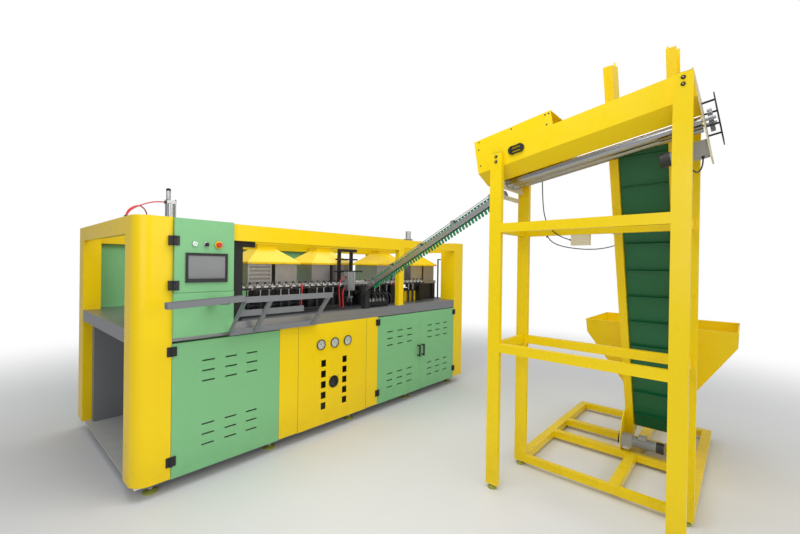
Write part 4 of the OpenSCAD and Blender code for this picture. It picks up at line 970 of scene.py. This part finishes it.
# Free lines: most of their points are those of the tubes in the CAD source
RED_PATHS = [
    [(20, 300, 2030.6), (20, 300, 2058), (60, 334, 2096), (150, 430, 2150), (255, 540, 2196),
     (330, 604, 2214), (CLAMP_X - 39.4, CLAMP_Y - 2, BRIDGE_Z + 366)],
    [(20, 330, 2030.6), (20, 330, 2060), (60, 372, 2106), (140, 470, 2150), (200, 520, 2126),
     (236, 580, 2030), (246, CLAMP_Y, 1930), (246, CLAMP_Y, BRIDGE_Z + 20.8)],
    [(2059, 215, 1560), (2020, 215, 1560), (1966, 205, 1500), (1948, 190, 1380), (1955, 180, 1270),
     (1955, 180, DECK_Z + 0.6)],
    [(2059, 200, 1440), (2030, 200, 1440), (1990, 176, 1405), (1970, 150, 1320), (1970, 140, DECK_Z + 0.6)],
    *[[(x, 100, DECK_Z + 0.6), (x, 100, 1290), (x + 8, 115, 1370), (x + 26, 165, 1430),
       (x + 44, 225, 1460), (x + 46, CONV_Y - 1.2, 1462)] for x in (2830, 2885)],
    [(1440, 150, DECK_Z + 0.6), (1440, 148, 1330), (1444, 148, 1420), (1456, 160, 1480),
     (1476, 192, 1508), (1494, 232, 1492), (1506, CONV_Y - 1.2, 1461)],
]
BLACK_PATHS = []
for k, x in enumerate(VALVE_X):
    h = 6 * (k % 2)
    BLACK_PATHS.append([
        (x, BANK_Y + 36, BANK_Z + 1), (x, BANK_Y + 32, BANK_Z + 60), (x + 4, 50, BANK_Z + 104 + h),
        (x + 10, -2, BANK_Z + 84 + h), (x + 16, -30 - h, BANK_Z + 18), (x + 21, 8, BANK_Z - 34),
        (x + 22, BANK_Y - 0.6, BANK_Z - 42)])
CABLE_PATHS = [
    [(CHUTE_X + 170.3, -1867.7, 2463.1), (CHUTE_X + 184, -1868, 2430), (2384, -1870, 2300),
     (2378, -1880, 2190), (2384, -1895, 2090), (2405, -1925, 2020), (2420, -1980, 1965),
     (2441, -2050, 1926), (2442, -2083.2, 1922)],
    [(2446, -1890, 1961.4), (2448, -1894, 1930), (2500, -1960, 1884), (2620, -2082, 1858),
     (2740, -2188, 1858), (2840, -2275, 1880), (2880, -2320, 1901), (2893, -2350, 1917),
     (2896, -2371.6, 1924)],
    [(2105.5, -2924.8, 2362.6), (2105, -2926, 2335), (2092, -2920, 2290), (2060, -2905, 2262),
     (2020, -2888, 2268), (1985, -2868, 2300), (1965.4, -2855, 2330)],
]


def smooth_path(points, n=5):
    """The CAD source's own smooth curve through the points, in millimetres."""
    p = [Vector(q) for q in points]
    out = []
    for i in range(len(p) - 1):
        a, b, c, d = p[max(i - 1, 0)], p[i], p[i + 1], p[min(i + 2, len(p) - 1)]
        for k in range(n):
            t = k / n
            out.append(0.5 * (2 * b + (c - a) * t + (2 * a - 5 * b + 4 * c - d) * t ** 2
                              + (3 * b - a - 3 * c + d) * t ** 3))
    return out + [p[-1]]


def eased(path, count=31, passes=8):
    """The path at even steps with its tight spots eased, both ends kept."""
    total = sum((b - a).length for a, b in zip(path, path[1:]))
    out, walked, i = [path[0]], 0.0, 0
    for k in range(1, count - 1):
        goal = total * k / (count - 1)
        while walked + (path[i + 1] - path[i]).length < goal:
            walked += (path[i + 1] - path[i]).length
            i += 1
        step = (goal - walked) / (path[i + 1] - path[i]).length
        out.append(path[i].lerp(path[i + 1], step))
    out.append(path[-1])
    for _ in range(passes):
        inner = [(a + 2 * b + c) / 4 for a, b, c in zip(out, out[1:], out[2:])]
        out = [out[0]] + inner + [out[-1]]
    return out


def free_line(name, points, radius, mat, node):
    """A declared hose or cable as a round curve; it stands for the node, if there is one."""
    route = [at(*p) for p in eased(smooth_path(points))]
    curve = bpy.data.curves.new(name, "CURVE")
    curve.dimensions = "3D"
    spline = curve.splines.new("POLY")
    spline.points.add(len(route) - 1)
    for point, place in zip(spline.points, route):
        point.co = (*place, 1)
    curve.bevel_depth = radius / 1000
    curve.bevel_resolution = 4
    curve.use_fill_caps = True
    curve.materials.append(mat)
    obj = bpy.data.objects.new(name, curve)
    bpy.context.scene.collection.objects.link(obj)
    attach(obj, "machine")
    if node:
        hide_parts(node)


def line_fittings(name, paths, radius, mat):
    """A tapered push-in fitting at both ends of each line."""
    s = Solid()
    for points in paths:
        route = smooth_path(points)
        for end, inward in ((route[0], route[1] - route[0]), (route[-1], route[-2] - route[-1])):
            s.lathe(tuple(end), tuple(inward),
                    [(0.4, radius * 1.9), (7, radius * 1.9), (9, radius * 1.5),
                     (14, radius * 1.35), (14.5, radius)], 20)
    piece(name, s.mesh(name), mat, "machine")


HOSE_R, CABLE_R = 5, 4
for k, points in enumerate(RED_PATHS):
    free_line(f"red_hose_{k + 1}", points, HOSE_R, RED_HOSE, "red_hoses")
for k, points in enumerate(BLACK_PATHS):
    free_line(f"black_hose_{k + 1}", points, HOSE_R, BLACK_HOSE, "black_hoses")
for k, points in enumerate(CABLE_PATHS):
    node = "feeder_cable" if k == 0 else None
    free_line(f"feeder_line_{k + 1}", points, CABLE_R, BLACK_HOSE, node)
line_fittings("hose_fittings", RED_PATHS + BLACK_PATHS, HOSE_R, BLACK_PLASTIC)
line_fittings("cable_glands", CABLE_PATHS, CABLE_R, BLACK_PLASTIC)

# Light, floor and camera


def area(name, place, target, size, power):
    """A soft white light in metres and watts, turned to its target."""
    light = bpy.data.lights.new(name, "AREA")
    light.shape = "RECTANGLE"
    light.size, light.size_y = size
    light.energy = power
    obj = bpy.data.objects.new(name, light)
    obj.location = place
    obj.rotation_euler = (Vector(target) - Vector(place)).to_track_quat("-Z", "Y").to_euler()
    bpy.context.scene.collection.objects.link(obj)


area("ceiling_long", (1.0, -2.0, 4.6), (1.6, -0.8, 0.8), (5.0, 2.2), 118)
area("ceiling_back", (2.6, 1.6, 4.6), (2.2, 0.4, 0.8), (5.0, 2.0), 66)
area("left_soft", (-3.6, -3.4, 2.4), (1.2, -0.4, 1.1), (3.2, 2.6), 66)
area("front_soft", (2.4, -6.8, 2.6), (2.4, -1.0, 1.2), (4.5, 2.6), 74)

world = bpy.data.worlds.new("studio")
bpy.context.scene.world = world
world.use_nodes = True
tree = world.node_tree
background = tree.nodes["Background"]
background.inputs["Color"].default_value = (1, 1, 1, 1)
background.inputs["Strength"].default_value = 0.42
seen = tree.nodes.new("ShaderNodeBackground")
seen.inputs["Color"].default_value = (1, 1, 1, 1)
seen.inputs["Strength"].default_value = 1.0
path = tree.nodes.new("ShaderNodeLightPath")
choose = tree.nodes.new("ShaderNodeMixShader")
tree.links.new(path.outputs["Is Camera Ray"], choose.inputs[0])
tree.links.new(background.outputs[0], choose.inputs[1])
tree.links.new(seen.outputs[0], choose.inputs[2])
tree.links.new(choose.outputs[0], tree.nodes["World Output"].inputs["Surface"])

# The floor fades into the white background away from the machine
FLOOR_HALF, FADE_FROM, FADE_TO = 14.0, 3.2, 8.5
floor_mesh = bpy.data.meshes.new("studio_floor")
floor_corners = [(x * FLOOR_HALF, y * FLOOR_HALF, 0) for x, y in ((-1, -1), (1, -1), (1, 1), (-1, 1))]
floor_mesh.from_pydata(floor_corners, [], [(0, 1, 2, 3)])
floor = bpy.data.objects.new("studio_floor", floor_mesh)
floor.location = (1.9, -0.6, 0)
bpy.context.scene.collection.objects.link(floor)
pale = Shader("pale_floor", 0.6)
pale.color(pale.mix(pale.spread(pale.noise(0.6, 4, 0.6), 0, 0.5), (0.74, 0.75, 0.76), (0.70, 0.71, 0.72)))
pale.roughness(pale.spread(pale.noise(3, 4, 0.6), 0.5, 0.7))
away = pale.node("ShaderNodeVectorMath", operation="LENGTH")
pale.link(pale.coord.outputs["Object"], away.inputs[0])
fade = pale.node("ShaderNodeMapRange", interpolation_type="SMOOTHSTEP")
fade.inputs["From Min"].default_value = FADE_FROM
fade.inputs["From Max"].default_value = FADE_TO
fade.inputs["To Min"].default_value = 1
fade.inputs["To Max"].default_value = 0
pale.link(away.outputs["Value"], fade.inputs["Value"])
pale.link(fade.outputs[0], pale.bsdf.inputs["Alpha"])
floor_mesh.materials.append(pale.mat)

# Camera: focal length in pixels of the 800 x 534 picture, turns in radians, place in millimetres
FOCAL_PX, PICTURE_W, SENSOR_MM = 385.19, 800, 36
YAW, PITCH, ROLL = 0.7295, -0.0042, 0.0142
EYE = (-753, -3114, 1700)
camera_data = bpy.data.cameras.new("camera")
camera_data.sensor_fit = "HORIZONTAL"
camera_data.sensor_width = SENSOR_MM
camera_data.lens = FOCAL_PX * SENSOR_MM / PICTURE_W
camera_data.clip_end = 200
forward = Vector((math.cos(PITCH) * math.cos(YAW), math.cos(PITCH) * math.sin(YAW), math.sin(PITCH)))
level = Vector((math.sin(YAW), -math.cos(YAW), 0))
up = level.cross(forward)
right = math.cos(ROLL) * level + math.sin(ROLL) * up
up = right.cross(forward)
camera = bpy.data.objects.new("camera", camera_data)
turn = Matrix((right, up, -forward)).transposed().to_4x4()
camera.matrix_world = Matrix.Translation(at(*EYE)) @ turn
bpy.context.scene.collection.objects.link(camera)
bpy.context.scene.camera = camera
bpy.context.scene.view_settings.view_transform = "Standard"
